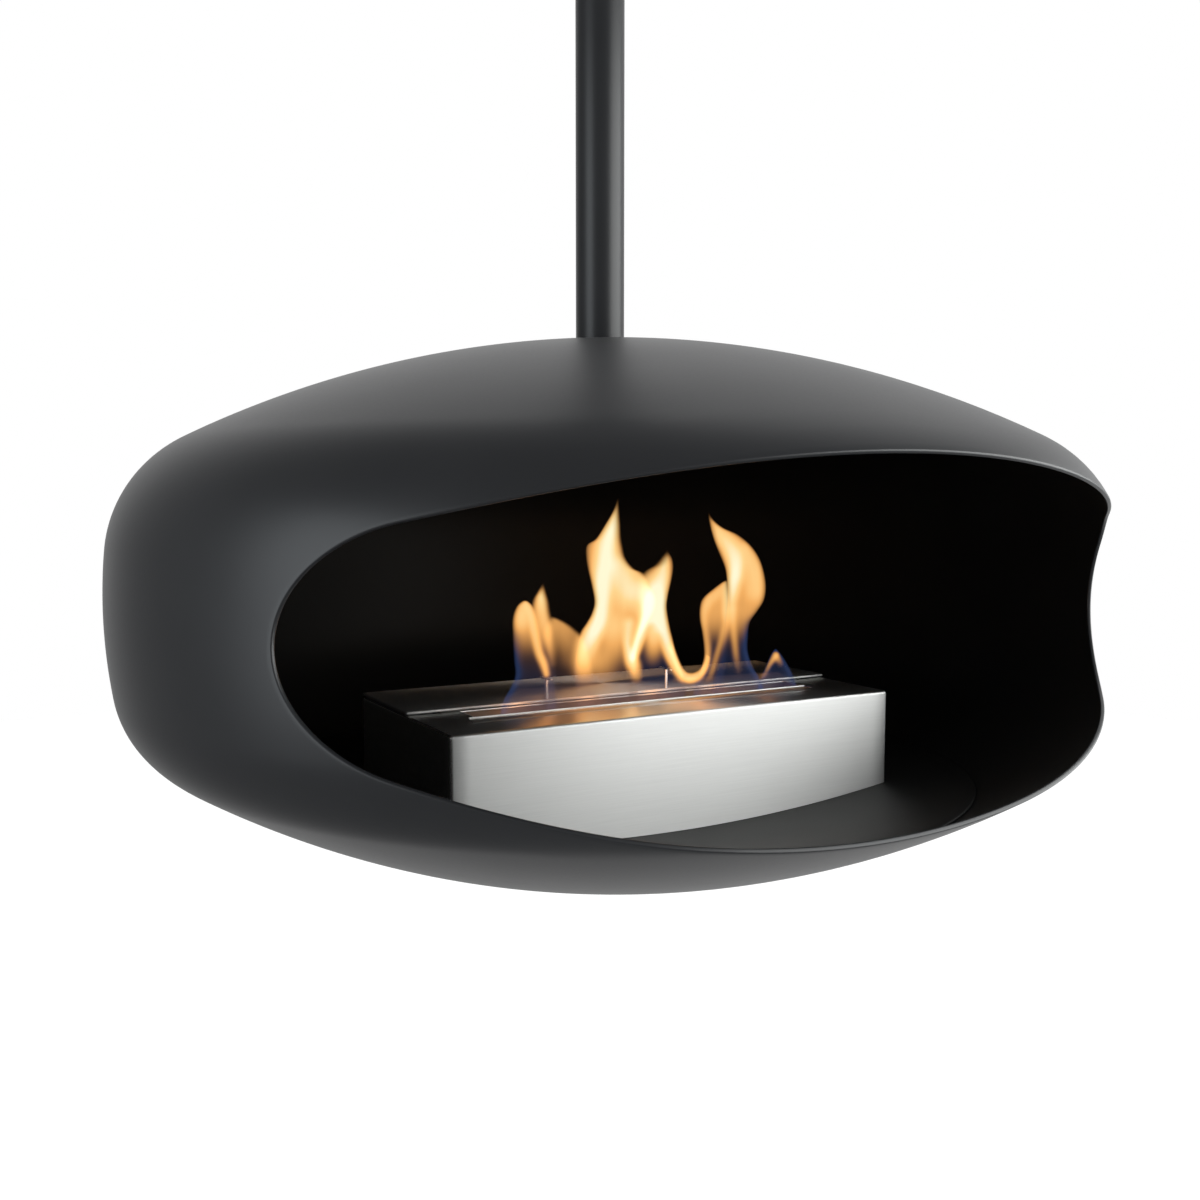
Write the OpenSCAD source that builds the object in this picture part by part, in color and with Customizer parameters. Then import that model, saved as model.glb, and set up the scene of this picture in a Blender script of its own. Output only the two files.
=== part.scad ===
// Hanging bio-ethanol fireplace.
// A round steel shell hangs from one pole and a ceiling swivel. A stainless burner with a sliding
// lid stands on a shallow hearth plate inside it. Millimetres, +Z up, opening towards -Y.
// The origin is the centre of the ceiling plate's top face, on the pole's axis.

/* [Shell] */
// Outside diameter of the shell at its widest line
body_d = 980; // [900:1:1060]
// Height of the crown above the widest line
crown_rise = 255; // [235:1:275]
// Depth of the bowl below the widest line
bowl_drop = 276; // [255:1:285]
// Thickness of the shell's sheet
shell_wall = 4; // [3:0.5:6]
// Radius of the upright arc at the widest line
side_r = 510; // [450:10:700]
// Half-angle of the upright arc above the widest line
crown_side_angle = 6; // [3:0.5:8]
// Half-angle of the upright arc below the widest line
bowl_side_angle = 9; // [7:0.5:12]
// Radius of the shoulder between the side and the crown
crown_shoulder_r = 129; // [100:1:145]
// Radius of the shoulder between the side and the bowl
bowl_shoulder_r = 97; // [80:1:115]

/* [Opening] */
// Width of the opening, seen from the front
opening_w = 834; // [740:1:850]
// Radius of the opening's two ends
opening_end_r = 92; // [80:1:110]
// Radius of the opening's upper edge
opening_top_r = 1270; // [1000:10:1600]
// Radius of the opening's lower edge
opening_bottom_r = 1030; // [900:10:1400]
// Height of the opening's ends against the widest line
opening_z = -4; // [-20:1:10]

/* [Pole] */
// Outside diameter of the pole
pole_d = 50; // [44:0.5:56]
// Wall of the pole's tube
pole_wall = 2; // [1.5:0.1:3]
// Height of the ceiling above the shell's crown
ceiling_drop = 650; // [500:10:2000]
// Distance of the pole's axis behind the shell's axis, so that the shell hangs level
pole_setback = 26; // [15:1:35]
// Length of pole that stands inside the shell, below the crown
pole_tail = 44; // [38:1:60]

/* [Ceiling mount] */
// Diameter of the ceiling plate
plate_d = 160; // [152:1:170]
// Thickness of the ceiling plate
plate_t = 8; // [7:0.5:12]
// Bolt circle of the ceiling anchors
anchor_pcd = 130; // [128:1:134]
// Diameter of the anchor holes
anchor_hole_d = 9; // [7:0.5:10]
// Number of anchor holes
anchor_count = 4; // [3:1:6]

/* [Swivel] */
// Diameter of the bearing housing
housing_d = 80; // [76:1:84]
// Diameter of the housing's flange
housing_flange_d = 112; // [110:1:116]
// Thickness of the housing's flange
housing_flange_t = 8; // [6:0.5:10]
// Thickness of the housing's floor, which carries the bearing
housing_floor_t = 8; // [6:0.5:12]
// Length of the nose below the floor, which holds the bush
housing_nose_l = 14; // [10:1:20]
// Bolt circle of the housing screws
housing_pcd = 96; // [95:0.5:98]
// Number of housing screws
housing_screw_count = 6; // [4:1:8]
// Outside diameter of the thrust bearing
bearing_d = 52; // [51:0.5:54]
// Bore of the thrust bearing
bearing_bore = 35; // [34:0.5:36]
// Height of the thrust bearing
bearing_h = 12; // [11:0.5:14]
// Diameter of the bearing's balls
ball_d = 6.5; // [6:0.1:7]
// Number of balls
ball_count = 16; // [10:1:17]
// Diameter of the swivel stem
stem_d = 30; // [28:0.5:31]
// Wall of the guide bush
bush_wall = 4; // [3:0.5:5]
// Height of the stem's nut
stem_nut_h = 10; // [8:0.5:14]
// Length of the stem's plug inside the pole
plug_l = 70; // [56:1:90]

/* [Canopy] */
// Outside diameter of the ceiling canopy
canopy_d = 180; // [174:1:200]
// Height of the canopy
canopy_h = 122; // [118:1:140]
// Sheet of the canopy
canopy_wall = 1.5; // [1:0.1:2.5]
// Radius of the canopy's lower edge
canopy_edge_r = 14; // [8:1:20]
// Height of the collar that clamps the canopy to the pole
collar_h = 14; // [10:1:20]

/* [Hearth plate] */
// Radius of curvature of the hearth plate
hearth_curve_r = 1750; // [1600:10:1900]
// Depth of the hearth plate's middle below the widest line
hearth_depth = 220; // [218:1:226]
// Thickness of the hearth plate
hearth_t = 2.5; // [2:0.5:3]

/* [Burner] */
// Length of the burner
burner_l = 488; // [470:1:510]
// Depth of the burner from front to back
burner_w = 230; // [224:1:250]
// Distance of the burner's front ahead of the shell's axis
burner_front = 150; // [140:1:160]
// Depth of the burner's top below the widest line
burner_top = 100; // [90:1:105]
// Stainless sheet of the casing and the tank
sheet_t = 1.5; // [1:0.1:2]
// Radius of the casing's upright corners
casing_corner_r = 4; // [3:0.5:8]
// Radius of the bends along the casing's top edges
casing_bend_r = 3; // [2.5:0.5:5]
// Distance from the burner's ends to the slot's ends
slot_end_margin = 54; // [50:1:58]
// Distance from the burner's front to the slot
slot_front_margin = 55; // [48:1:62]
// Width of the flame slot
slot_w = 45; // [36:1:50]
// Height of the stop lip along the slot's front edge
lip_h = 4.5; // [4:0.5:6]
// Thickness of the stop lip
lip_t = 2; // [1.5:0.5:3]
// Depth of the fuel tank
tank_h = 63; // [52:1:66]
// Depth of the wick fibre
wick_h = 43; // [34:1:46]

/* [Lid] */
// Thickness of the sliding lid
lid_t = 3; // [2:0.5:4]
// Height of the lid's underside above the burner's top
lid_lift = 1; // [0.8:0.1:1.5]
// Distance of the open lid behind the slot's rear edge
lid_setback = 4; // [3:0.5:6]
// Diameter of the lid's guide studs
lid_stud_d = 7; // [6:0.5:8]
// Distance between the two studs of a guide slot
lid_stud_pitch = 14; // [12:0.5:16]
// Height of the pull tabs above the lid
tab_h = 20; // [15:1:25]
// Thickness of the pull tabs
tab_t = 2; // [1.5:0.5:3]
// Position along the burner of the left pull tab
tab_left_x = -97; // [-130:1:-60]
// Position along the burner of the right pull tab
tab_right_x = 38; // [10:1:120]

/* [Fits] */
// Radial running clearance of the stem, the races and the balls
running_gap = 0.05; // [0.03:0.01:0.08]
// Radial clearance of screws and studs in their holes
bolt_gap = 0.3; // [0.2:0.05:0.5]
// Clearance of a piece that is seated against a curved sheet
seat_gap = 0.3; // [0.25:0.05:0.5]
// Clearance of pieces that slide on each other
slide_gap = 0.3; // [0.2:0.05:0.5]

/* [Hidden] */
$fn = 72;

black = [0.09, 0.09, 0.10];
soot = [0.05, 0.05, 0.05];
stainless = [0.78, 0.78, 0.76];
zinc = [0.62, 0.63, 0.65];
brass = [0.75, 0.60, 0.30];
wool = [0.88, 0.86, 0.80];

cut = 1;                        // how far a cutting tool runs past the faces it cuts
shell_fn = 180;                 // facets of the large turned pieces in previews
body_z = -(ceiling_drop + crown_rise);
body_r = body_d / 2;

// ---- shell profile: an upright side arc, a shoulder arc and a large dome arc, all tangent ----
side_steps = 2;
shoulder_steps = 10;
dome_steps = 10;

function arc(c, r, from, to, steps) =
    [for (i = [0:steps]) let (a = from + (to - from) * i / steps) c + r * [cos(a), sin(a)]];
function flipped(points) = [for (p = points) [p[0], -p[1]]];
function reversed(points) = [for (i = [len(points) - 1:-1:0]) points[i]];
function without_first(points) = [for (i = [1:len(points) - 1]) points[i]];
function without_ends(points) = [for (i = [1:len(points) - 2]) points[i]];

side_c = [body_r - side_r, 0];
function shoulder_c(angle, r) = side_c + (side_r - r) * [cos(angle), sin(angle)];
function dome_radius(c, r, rise) = (pow(c[0], 2) + pow(rise - c[1], 2) - pow(r, 2)) / (2 * (rise - c[1] - r));
function dome_angle(c, r, rise) = atan2(c[1] - (rise - dome_radius(c, r, rise)), c[0]);

// a quarter of the profile, from the widest line to the axis, drawn in by inset
function quarter(rise, angle, r, inset) =
    let (
        c = shoulder_c(angle, r),
        dome_r = dome_radius(c, r, rise),
        top = dome_angle(c, r, rise)
    )
    concat(
        arc(side_c, side_r - inset, 0, angle, side_steps),
        without_first(arc(c, r - inset, angle, top, shoulder_steps)),
        without_first(arc([0, rise - dome_r], dome_r - inset, top, 90, dome_steps))
    );
function crown_quarter(inset) = quarter(crown_rise, crown_side_angle, crown_shoulder_r, inset);
function bowl_quarter(inset) = flipped(quarter(bowl_drop, bowl_side_angle, bowl_shoulder_r, inset));
function profile(inset) = concat(reversed(bowl_quarter(inset)), without_first(crown_quarter(inset)));

crown_dome_r = dome_radius(shoulder_c(crown_side_angle, crown_shoulder_r), crown_shoulder_r, crown_rise);
bowl_dome_r = dome_radius(shoulder_c(bowl_side_angle, bowl_shoulder_r), bowl_shoulder_r, bowl_drop);
// height of the dome's and the bowl's faces at distance r from the shell's axis
function crown_z(r, inset) = crown_rise - crown_dome_r + sqrt(pow(crown_dome_r - inset, 2) - pow(r, 2));
function bowl_z(r, inset) = -bowl_drop + bowl_dome_r - sqrt(pow(bowl_dome_r - inset, 2) - pow(r, 2));

// ---- opening: four tangent arcs in the front view ----
opening_end_x = opening_w / 2 - opening_end_r;
function big_arc_offset(r) = sqrt(pow(r - opening_end_r, 2) - pow(opening_end_x, 2));
top_angle = atan2(big_arc_offset(opening_top_r), opening_end_x);
bottom_angle = atan2(big_arc_offset(opening_bottom_r), opening_end_x);
opening_cut_y = 180;            // the cutter starts here, in the hollow, ahead of the burner
end_steps = 8;
long_steps = 14;
opening_points = concat(
    arc([opening_end_x, 0], opening_end_r, -bottom_angle, top_angle, 2 * end_steps),
    without_first(arc([0, -big_arc_offset(opening_top_r)], opening_top_r,
        top_angle, 180 - top_angle, long_steps)),
    without_first(arc([-opening_end_x, 0], opening_end_r,
        180 - top_angle, 180 + bottom_angle, 2 * end_steps)),
    without_ends(arc([0, big_arc_offset(opening_bottom_r)], opening_bottom_r,
        180 + bottom_angle, 360 - bottom_angle, long_steps))
);

// ---- ceiling mount and swivel, from the ceiling down ----
anchor_hole_r = anchor_hole_d / 2;
m6_r = 3;
m6_head_r = 5;
m6_head_h = 6;
m8_r = 4;
m8_washer_r = 8;
m8_washer_t = 1.6;
m8_nut_r = 7.5;
m8_nut_h = 6.5;
screw_bite = 6;                 // depth of a screw in its tapped hole
plate_gap = 4;                  // air between the stem's top and the ceiling plate
tab_washer_t = 1.5;
stem_thread_past = 2;           // thread that stands past the nut
stem_top_z = -(plate_t + plate_gap);
nut_top_z = stem_top_z - stem_thread_past;
washer_top_z = nut_top_z - stem_nut_h;
race_top_z = washer_top_z - tab_washer_t;
bearing_mid_z = race_top_z - bearing_h / 2;
floor_z = race_top_z - bearing_h;
nose_top_z = floor_z - housing_floor_t;
nose_z = nose_top_z - housing_nose_l;
stem_r = stem_d / 2;
bush_r = stem_r + running_gap + bush_wall;
press_gap = 0.02;               // a pressed bush is drawn this much smaller than its seat
nose_wall = 7;
cavity_gap = 0.1;               // the lower race's slack in the housing
cavity_r = bearing_d / 2 + cavity_gap;
stem_nut_r = bearing_d / 2 - 1;
ball_r = ball_d / 2;
ball_path_r = (bearing_bore + bearing_d) / 4;
groove_depth = 1;
race_t = (bearing_h - ball_d) / 2 + groove_depth;
cage_t = 2.6;
cage_wall = 0.8;
shoulder_t = 6;
shoulder_gap = 6;               // air between the nose and the stem's shoulder
shoulder_top_z = nose_z - shoulder_gap;
pole_r = pole_d / 2;
pole_bore_r = pole_r - pole_wall;
pole_top_z = shoulder_top_z - shoulder_t;
plug_r = pole_bore_r - 0.1;
pole_bolt_r = m8_r;
pole_bolt_pitch = 20;
pole_bolt_first = 14;           // distance of the upper cross bolt below the pole's top
pole_bolt_head_r = 6.5;
pole_bolt_head_h = 5;
pole_bolt_seat_gap = 0.1;       // air between a flat nut or head and the round pole
pole_bolt_thread_past = 2;

// ---- canopy ----
canopy_gap = 2;                 // air between the canopy and the ceiling
canopy_r = canopy_d / 2;
canopy_edge_steps = 8;
canopy_bottom_z = -(canopy_gap + canopy_h);
collar_wall = 11;
grub_r = 2.5;
grub_l = 8;
grub_count = 3;

// ---- pole foot under the crown ----
foot_r = 85;
foot_t = 6;
hub_wall = 9;
foot_pcd = 130;
stud_count = 6;
stud_l = 24;
spot_margin = 1;                // width of the spot faces outside the washers
crown_in = shell_wall + seat_gap;
pole_bottom_z = -(ceiling_drop + pole_tail);
end_cap_t = 3;

// ---- hearth plate ----
plate_seat_gap = 0.1;           // air between the pillars' curved tops and the plate
hearth_edge_gap = 0.5;          // how far the plate's edge stays off the bowl
hearth_c_z = hearth_curve_r - hearth_depth;
function hearth_z(r, lift) = hearth_c_z - sqrt(pow(hearth_curve_r - lift, 2) - pow(r, 2));
hearth_under_r = hearth_curve_r + hearth_t + seat_gap;
bowl_in_r = bowl_dome_r - shell_wall;
bowl_c_z = bowl_dome_r - bowl_drop;
// height at which the plate's underside meets the bowl
meet_z = (pow(hearth_under_r, 2) - pow(bowl_in_r, 2) - pow(hearth_c_z, 2) + pow(bowl_c_z, 2))
    / (2 * (bowl_c_z - hearth_c_z));
hearth_r = sqrt(pow(bowl_in_r, 2) - pow(meet_z - bowl_c_z, 2)) - hearth_edge_gap;
hearth_steps = 10;
pillar_r = 9;

// ---- burner ----
burner_half = burner_l / 2;
front_y = -burner_front;
back_y = front_y + burner_w;
mid_y = (front_y + back_y) / 2;
top_z = -burner_top;
under_top_z = top_z - sheet_t;
slot_half = burner_half - slot_end_margin;
slot_front_y = front_y + slot_front_margin;
slot_back_y = slot_front_y + slot_w;
floor_gap = 0.5;                // air under the casing's curved lower edge

tank_end = 6;                   // distance of the tank's end walls outside the slot
tank_side = 11;                 // distance of its front and back walls outside the slot
tank_flange = 6;                // width of its flange at the ends
tank_flange_side = 13;          // width of its flange at the front and back
tank_front_y = slot_front_y - tank_side;
tank_back_y = slot_back_y + tank_side;
tank_half = slot_half + tank_end;
tank_bottom_z = under_top_z - tank_h;
tank_stud_r = 2;
tank_stud_l = 9;
tank_nut_r = 4;
tank_nut_h = 3.2;
tank_stud_x = 150;
fibre_gap = 0.5;
wick_top_z = tank_bottom_z + sheet_t + wick_h;
guard_t = 1;
guard_hole_r = 2.5;
guard_pitch = 12;
guard_rows = 4;

cradle_t = 2.5;
cradle_inset = 16;              // distance of the cradle's plates from the burner's ends
cradle_x = burner_half - cradle_inset;
cradle_flange = 9;
cradle_foot = 24;
cradle_margin = 12;             // distance of the cradle from the casing's front and back
cradle_bolt_span = 140;
cradle_bolt_x = cradle_x - cradle_foot / 2;
// the screws of the cradle's feet reach through the hearth plate into the pillars
hearth_bolt_away = norm([cradle_bolt_x, cradle_bolt_span / 2 + abs(mid_y)]) + m6_head_r;
hearth_bolt_head_z = hearth_z(hearth_bolt_away, cradle_t + seat_gap) + plate_seat_gap;
hearth_bolt_head_h = 3;
hearth_bolt_bite = 12;
hearth_bolt_end_z = hearth_bolt_head_z - cradle_t - hearth_t - hearth_bolt_bite;
rail_w = 20;
rail_t = 4;
rail_span = 56;
tray_drop = 7;                  // air between the tank and the drip tray
tray_h = 12;
tray_side = 10;                 // reach of the tray past the tank's front and back
tray_end = 3;                   // and past its ends
tray_z = tank_bottom_z - tray_drop - tray_h;

// ---- lid ----
lid_front_y = slot_back_y + lid_setback;
lid_z = top_z + lid_lift;
lid_stop_gap = 0.5;             // air between the closed lid and the stop lip
lid_travel = lid_front_y - slot_front_y - lid_stop_gap;
lid_stud_r = lid_stud_d / 2;
guide_half_w = lid_stud_r + slide_gap;
guide_cover = 3.7;              // how far the open lid covers the guide slots' front ends
guide_front_y = lid_front_y + guide_cover;
first_stud_y = guide_front_y + guide_half_w + lid_travel;
lid_stud_inset = 30;            // distance of the studs from the lid's ends
lid_stud_x = burner_half - lid_stud_inset;
lid_stud_reach = 6;             // length of a stud below the burner's top sheet
clip_r = 5.5;
clip_t = 1.2;
tab_foot_w = 4.5;
tab_head_w = 12;
tab_head_h = 5;
tab_inset = 6;                  // distance of a tab's rear edge behind the lid's front edge

// ================= helpers =================
module at_body() {
    translate([0, -pole_setback, body_z]) children();
}

module at_corners(x, y) {
    for (sx = [-1, 1], sy = [-1, 1]) translate([sx * x, sy * y, 0]) children();
}

module around(count, r, start = 0) {
    for (i = [0:count - 1]) rotate([0, 0, start + 360 * i / count]) translate([r, 0, 0]) children();
}

module ring(outer, inner, z0, z1) {
    translate([0, 0, z0]) difference() {
        cylinder(r = outer, h = z1 - z0);
        translate([0, 0, -cut]) cylinder(r = inner, h = z1 - z0 + 2 * cut);
    }
}

module rod(r, z0, z1) {
    translate([0, 0, z0]) cylinder(r = r, h = z1 - z0);
}

// a box between two y values and two z values, centred on x
module slab(half, y0, y1, z0, z1) {
    translate([-half, y0, z0]) cube([2 * half, y1 - y0, z1 - z0]);
}

// everything below the dome's inner face, drawn in by inset, out to radius r
module under_dome(inset) {
    r = foot_r + pole_setback + seat_gap;
    steps = 8;
    rotate_extrude($fn = shell_fn) polygon(concat(
        [[0, 0], [r, 0]],
        [for (i = [steps:-1:0]) let (x = r * i / steps) [x, crown_z(x, inset)]]
    ));
}

// everything above the bowl's inner face, out to the hearth plate's edge
module above_bowl(inset) {
    rotate_extrude($fn = shell_fn) polygon(concat(
        [[0, 0]],
        [for (i = [0:hearth_steps]) let (x = hearth_r * i / hearth_steps) [x, bowl_z(x, inset)]],
        [[hearth_r, 0]]
    ));
}

// everything above the hearth plate's upper face, lifted off it
module above_hearth(lift) {
    rotate_extrude($fn = shell_fn) polygon(concat(
        [[0, 0]],
        [for (i = [0:hearth_steps]) let (x = hearth_r * i / hearth_steps) [x, hearth_z(x, lift)]],
        [[hearth_r, 0]]
    ));
}

// a flat spot on the foot's sloping underside, as high as its highest point there
function foot_seat_z(angle) =
    let (away = norm([foot_pcd / 2 * cos(angle), foot_pcd / 2 * sin(angle) + pole_setback]))
    crown_z(max(away - m8_washer_r - spot_margin, 0), crown_in + foot_t);
function stud_angle(i) = 360 * i / stud_count + 30;

// each stud's place; $seat_z is the height of its flat spot
module at_studs() {
    for (i = [0:stud_count - 1]) {
        $seat_z = body_z + foot_seat_z(stud_angle(i));
        rotate([0, 0, stud_angle(i)]) translate([foot_pcd / 2, 0, 0]) children();
    }
}

// ================= ceiling mount =================
module ceiling_plate() {
    color(zinc) difference() {
        rod(plate_d / 2, -plate_t, 0);
        around(anchor_count, anchor_pcd / 2, 45) rod(anchor_hole_r, -plate_t - cut, cut);
        around(housing_screw_count, housing_pcd / 2)
            rod(m6_r + running_gap, -plate_t - cut, -plate_t + screw_bite);
    }
}

module swivel_housing() {
    color(zinc) difference() {
        union() {
            rod(housing_flange_d / 2, -plate_t - housing_flange_t, -plate_t);
            rod(housing_d / 2, nose_top_z, -plate_t);
            rod(bush_r + nose_wall, nose_z, nose_top_z);
        }
        rod(cavity_r, floor_z, cut);
        rod(bush_r, nose_z - cut, floor_z + cut);
        around(housing_screw_count, housing_pcd / 2)
            rod(m6_r + bolt_gap, -plate_t - housing_flange_t - cut, cut);
    }
}

module housing_screws() {
    hex_r = 2.5;
    hex_depth = 3;
    tip_gap = 0.5;
    head_z = -plate_t - housing_flange_t;
    color(zinc) around(housing_screw_count, housing_pcd / 2) difference() {
        union() {
            rod(m6_r, head_z, -plate_t + screw_bite - tip_gap);
            rod(m6_head_r, head_z - m6_head_h, head_z);
        }
        translate([0, 0, head_z - m6_head_h - cut]) cylinder(r = hex_r, h = hex_depth + cut, $fn = 6);
    }
}

module guide_bush() {
    race_clearance = 0.5;
    color(brass) ring(bush_r - press_gap, stem_r + running_gap, nose_z, floor_z - race_clearance);
}

module race(z0, z1) {
    difference() {
        ring(bearing_d / 2, bearing_bore / 2, z0, z1);
        translate([0, 0, bearing_mid_z]) rotate_extrude() translate([ball_path_r, 0])
            circle(r = ball_r + running_gap, $fn = 48);
    }
}

module bearing_lower_race() {
    color(stainless) race(floor_z, floor_z + race_t);
}

module bearing_upper_race() {
    color(stainless) race(race_top_z - race_t, race_top_z);
}

module bearing_balls() {
    color(stainless) translate([0, 0, bearing_mid_z]) around(ball_count, ball_path_r)
        sphere(r = ball_r, $fn = 32);
}

module bearing_cage() {
    color(brass) difference() {
        ring(ball_path_r + ball_r + cage_wall, ball_path_r - ball_r - cage_wall,
            bearing_mid_z - cage_t / 2, bearing_mid_z + cage_t / 2);
        around(ball_count, ball_path_r)
            rod(ball_r + running_gap, bearing_mid_z - cage_t, bearing_mid_z + cage_t);
    }
}

module cross_bolt_places() {
    for (i = [0, 1]) translate([0, 0, pole_top_z - pole_bolt_first - i * pole_bolt_pitch])
        rotate([0, 90, i * 90]) children();
}

module swivel_stem() {
    color(zinc) difference() {
        union() {
            rod(stem_r, shoulder_top_z, stem_top_z);
            rod(pole_r, pole_top_z, shoulder_top_z);
            rod(plug_r, pole_top_z - plug_l, pole_top_z);
        }
        cross_bolt_places() rod(pole_bolt_r + running_gap, -pole_r, pole_r);
    }
}

module tab_washer() {
    color(zinc) ring(bearing_d / 2 - 2, stem_r + running_gap, washer_top_z - tab_washer_t, washer_top_z);
}

module stem_nut() {
    color(zinc) difference() {
        translate([0, 0, washer_top_z]) cylinder(r = stem_nut_r, h = stem_nut_h, $fn = 6);
        rod(stem_r + running_gap, washer_top_z - cut, nut_top_z + cut);
    }
}

// ================= canopy =================
function canopy_profile(inset) = concat(
    [[canopy_r - inset, -canopy_gap]],
    reversed(arc([canopy_r - canopy_edge_r, canopy_bottom_z + canopy_edge_r],
        canopy_edge_r - inset, -90, 0, canopy_edge_steps)),
    [[pole_r + slide_gap, canopy_bottom_z + inset]]
);

module canopy() {
    color(black) rotate_extrude($fn = shell_fn) polygon(concat(
        canopy_profile(0),
        reversed(canopy_profile(canopy_wall))
    ));
}

module grub_places() {
    translate([0, 0, canopy_bottom_z - collar_h / 2]) for (i = [0:grub_count - 1])
        rotate([0, 0, 90 + 360 * i / grub_count]) rotate([0, 90, 0]) children();
}

module canopy_collar() {
    color(black) difference() {
        ring(pole_r + collar_wall, pole_r + slide_gap, canopy_bottom_z - collar_h, canopy_bottom_z);
        grub_places() rod(grub_r + running_gap, 0, pole_r + 2 * collar_wall);
    }
}

module canopy_screws() {
    hex_r = 1.2;
    tip_gap = 0.1;
    hex_depth = 3;
    color(zinc) grub_places() difference() {
        rod(grub_r, pole_r + tip_gap, pole_r + tip_gap + grub_l);
        translate([0, 0, pole_r + tip_gap + grub_l - hex_depth])
            cylinder(r = hex_r, h = hex_depth + cut, $fn = 6);
    }
}

// ================= pole =================
module pole() {
    color(black) difference() {
        ring(pole_r, pole_bore_r, pole_bottom_z, pole_top_z);
        cross_bolt_places() rod(pole_bolt_r + running_gap, -pole_r - cut, pole_r + cut);
    }
}

module pole_bolts() {
    head_z = pole_r + pole_bolt_seat_gap;
    color(zinc) cross_bolt_places() {
        rod(pole_bolt_r, -head_z - m8_nut_h - pole_bolt_thread_past, head_z);
        rod(pole_bolt_head_r, head_z, head_z + pole_bolt_head_h);
    }
}

module pole_bolt_nuts() {
    color(zinc) cross_bolt_places() difference() {
        translate([0, 0, -pole_r - pole_bolt_seat_gap - m8_nut_h])
            cylinder(r = m8_nut_r, h = m8_nut_h, $fn = 6);
        rod(pole_bolt_r + running_gap, -2 * pole_r, 0);
    }
}

module pole_foot() {
    hub_top = body_z + crown_rise;
    below = hub_top - 2 * foot_r;
    color(soot) difference() {
        union() {
            intersection() {
                at_body() difference() {
                    under_dome(crown_in);
                    under_dome(crown_in + foot_t);
                }
                rod(foot_r, below, hub_top);
            }
            intersection() {
                at_body() under_dome(crown_in);
                rod(pole_r + hub_wall, pole_bottom_z, hub_top);
            }
        }
        rod(pole_r + running_gap, pole_bottom_z - cut, hub_top + cut);
        at_studs() {
            rod(m8_r + bolt_gap, below, hub_top);
            rod(m8_washer_r + spot_margin, below, $seat_z);
        }
    }
}

module pole_end_cap() {
    lip_l = 8;
    color(soot) {
        rod(pole_r + hub_wall, pole_bottom_z - end_cap_t, pole_bottom_z);
        rod(pole_bore_r - running_gap, pole_bottom_z, pole_bottom_z + lip_l);
    }
}

// ================= shell =================
module body_shell() {
    color(black) difference() {
        at_body() difference() {
            rotate_extrude($fn = shell_fn) polygon(concat(profile(0), reversed(profile(shell_wall))));
            translate([0, -opening_cut_y, opening_z]) rotate([90, 0, 0])
                linear_extrude(height = body_r) polygon(opening_points);
        }
        rod(pole_r + bolt_gap, body_z, 0);
    }
}

module crown_studs() {
    weld_gap = 0.2;
    color(zinc) intersection() {
        at_body() under_dome(shell_wall + weld_gap);
        at_studs() rod(m8_r, body_z + crown_rise - stud_l - foot_t, body_z + crown_rise);
    }
}

module crown_washers() {
    color(zinc) at_studs() ring(m8_washer_r, m8_r + bolt_gap, $seat_z - m8_washer_t, $seat_z);
}

module crown_nuts() {
    color(zinc) at_studs() {
        nut_z = $seat_z - m8_washer_t - m8_nut_h;
        difference() {
            translate([0, 0, nut_z]) cylinder(r = m8_nut_r, h = m8_nut_h, $fn = 6);
            rod(m8_r + running_gap, nut_z - cut, $seat_z);
        }
    }
}

// ================= hearth =================
module hearth_bolt_places() {
    translate([0, mid_y, 0]) at_corners(cradle_bolt_x, cradle_bolt_span / 2) children();
}

module hearth_pillars() {
    color(zinc) at_body() difference() {
        intersection() {
            hearth_bolt_places() rod(pillar_r, -bowl_drop, top_z);
            above_bowl(shell_wall + seat_gap);
        }
        above_hearth(-hearth_t - plate_seat_gap);
        hearth_bolt_places() rod(m6_r + running_gap, hearth_bolt_end_z - cut, top_z);
    }
}

module hearth_plate() {
    color(soot) at_body() difference() {
        above_hearth(-hearth_t);
        above_hearth(0);
        hearth_bolt_places() rod(m6_r + bolt_gap, -bowl_drop, top_z);
    }
}

module hearth_bolts() {
    color(zinc) at_body() hearth_bolt_places() {
        rod(m6_head_r, hearth_bolt_head_z, hearth_bolt_head_z + hearth_bolt_head_h);
        rod(m6_r, hearth_bolt_end_z, hearth_bolt_head_z);
    }
}

// two upright end plates with feet on the hearth plate and flanges under the casing's top
module cradle_plates() {
    y0 = front_y + cradle_margin;
    y1 = back_y - cradle_margin;
    color(soot) at_body() for (side = [0, 1]) mirror([side, 0, 0]) {
        intersection() {
            translate([cradle_x - cradle_t, y0, -bowl_drop])
                cube([cradle_t, y1 - y0, bowl_drop + under_top_z]);
            above_hearth(seat_gap);
        }
        translate([cradle_x - cradle_t, y0, under_top_z - cradle_t])
            cube([cradle_flange + cradle_t, y1 - y0, cradle_t]);
        intersection() {
            translate([cradle_x - cradle_foot, y0, -bowl_drop])
                cube([cradle_foot - cradle_t / 2, y1 - y0, bowl_drop + under_top_z]);
            difference() {
                above_hearth(seat_gap);
                above_hearth(seat_gap + cradle_t);
                hearth_bolt_places() rod(m6_r + bolt_gap, -bowl_drop, top_z);
            }
        }
    }
}

module cradle_rails() {
    rail_mid_y = (tank_front_y + tank_back_y) / 2;
    color(soot) at_body() for (side = [-1, 1])
        translate([0, rail_mid_y + side * rail_span / 2, 0])
            slab(cradle_x - cradle_t, -rail_w / 2, rail_w / 2, tray_z - rail_t, tray_z);
}

module drip_tray() {
    color(zinc) at_body() difference() {
        slab(tank_half + tray_end, tank_front_y - tray_side, tank_back_y + tray_side,
            tray_z, tray_z + tray_h);
        slab(tank_half + tray_end - sheet_t, tank_front_y - tray_side + sheet_t,
            tank_back_y + tray_side - sheet_t, tray_z + sheet_t, tray_z + tray_h + cut);
    }
}

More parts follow.
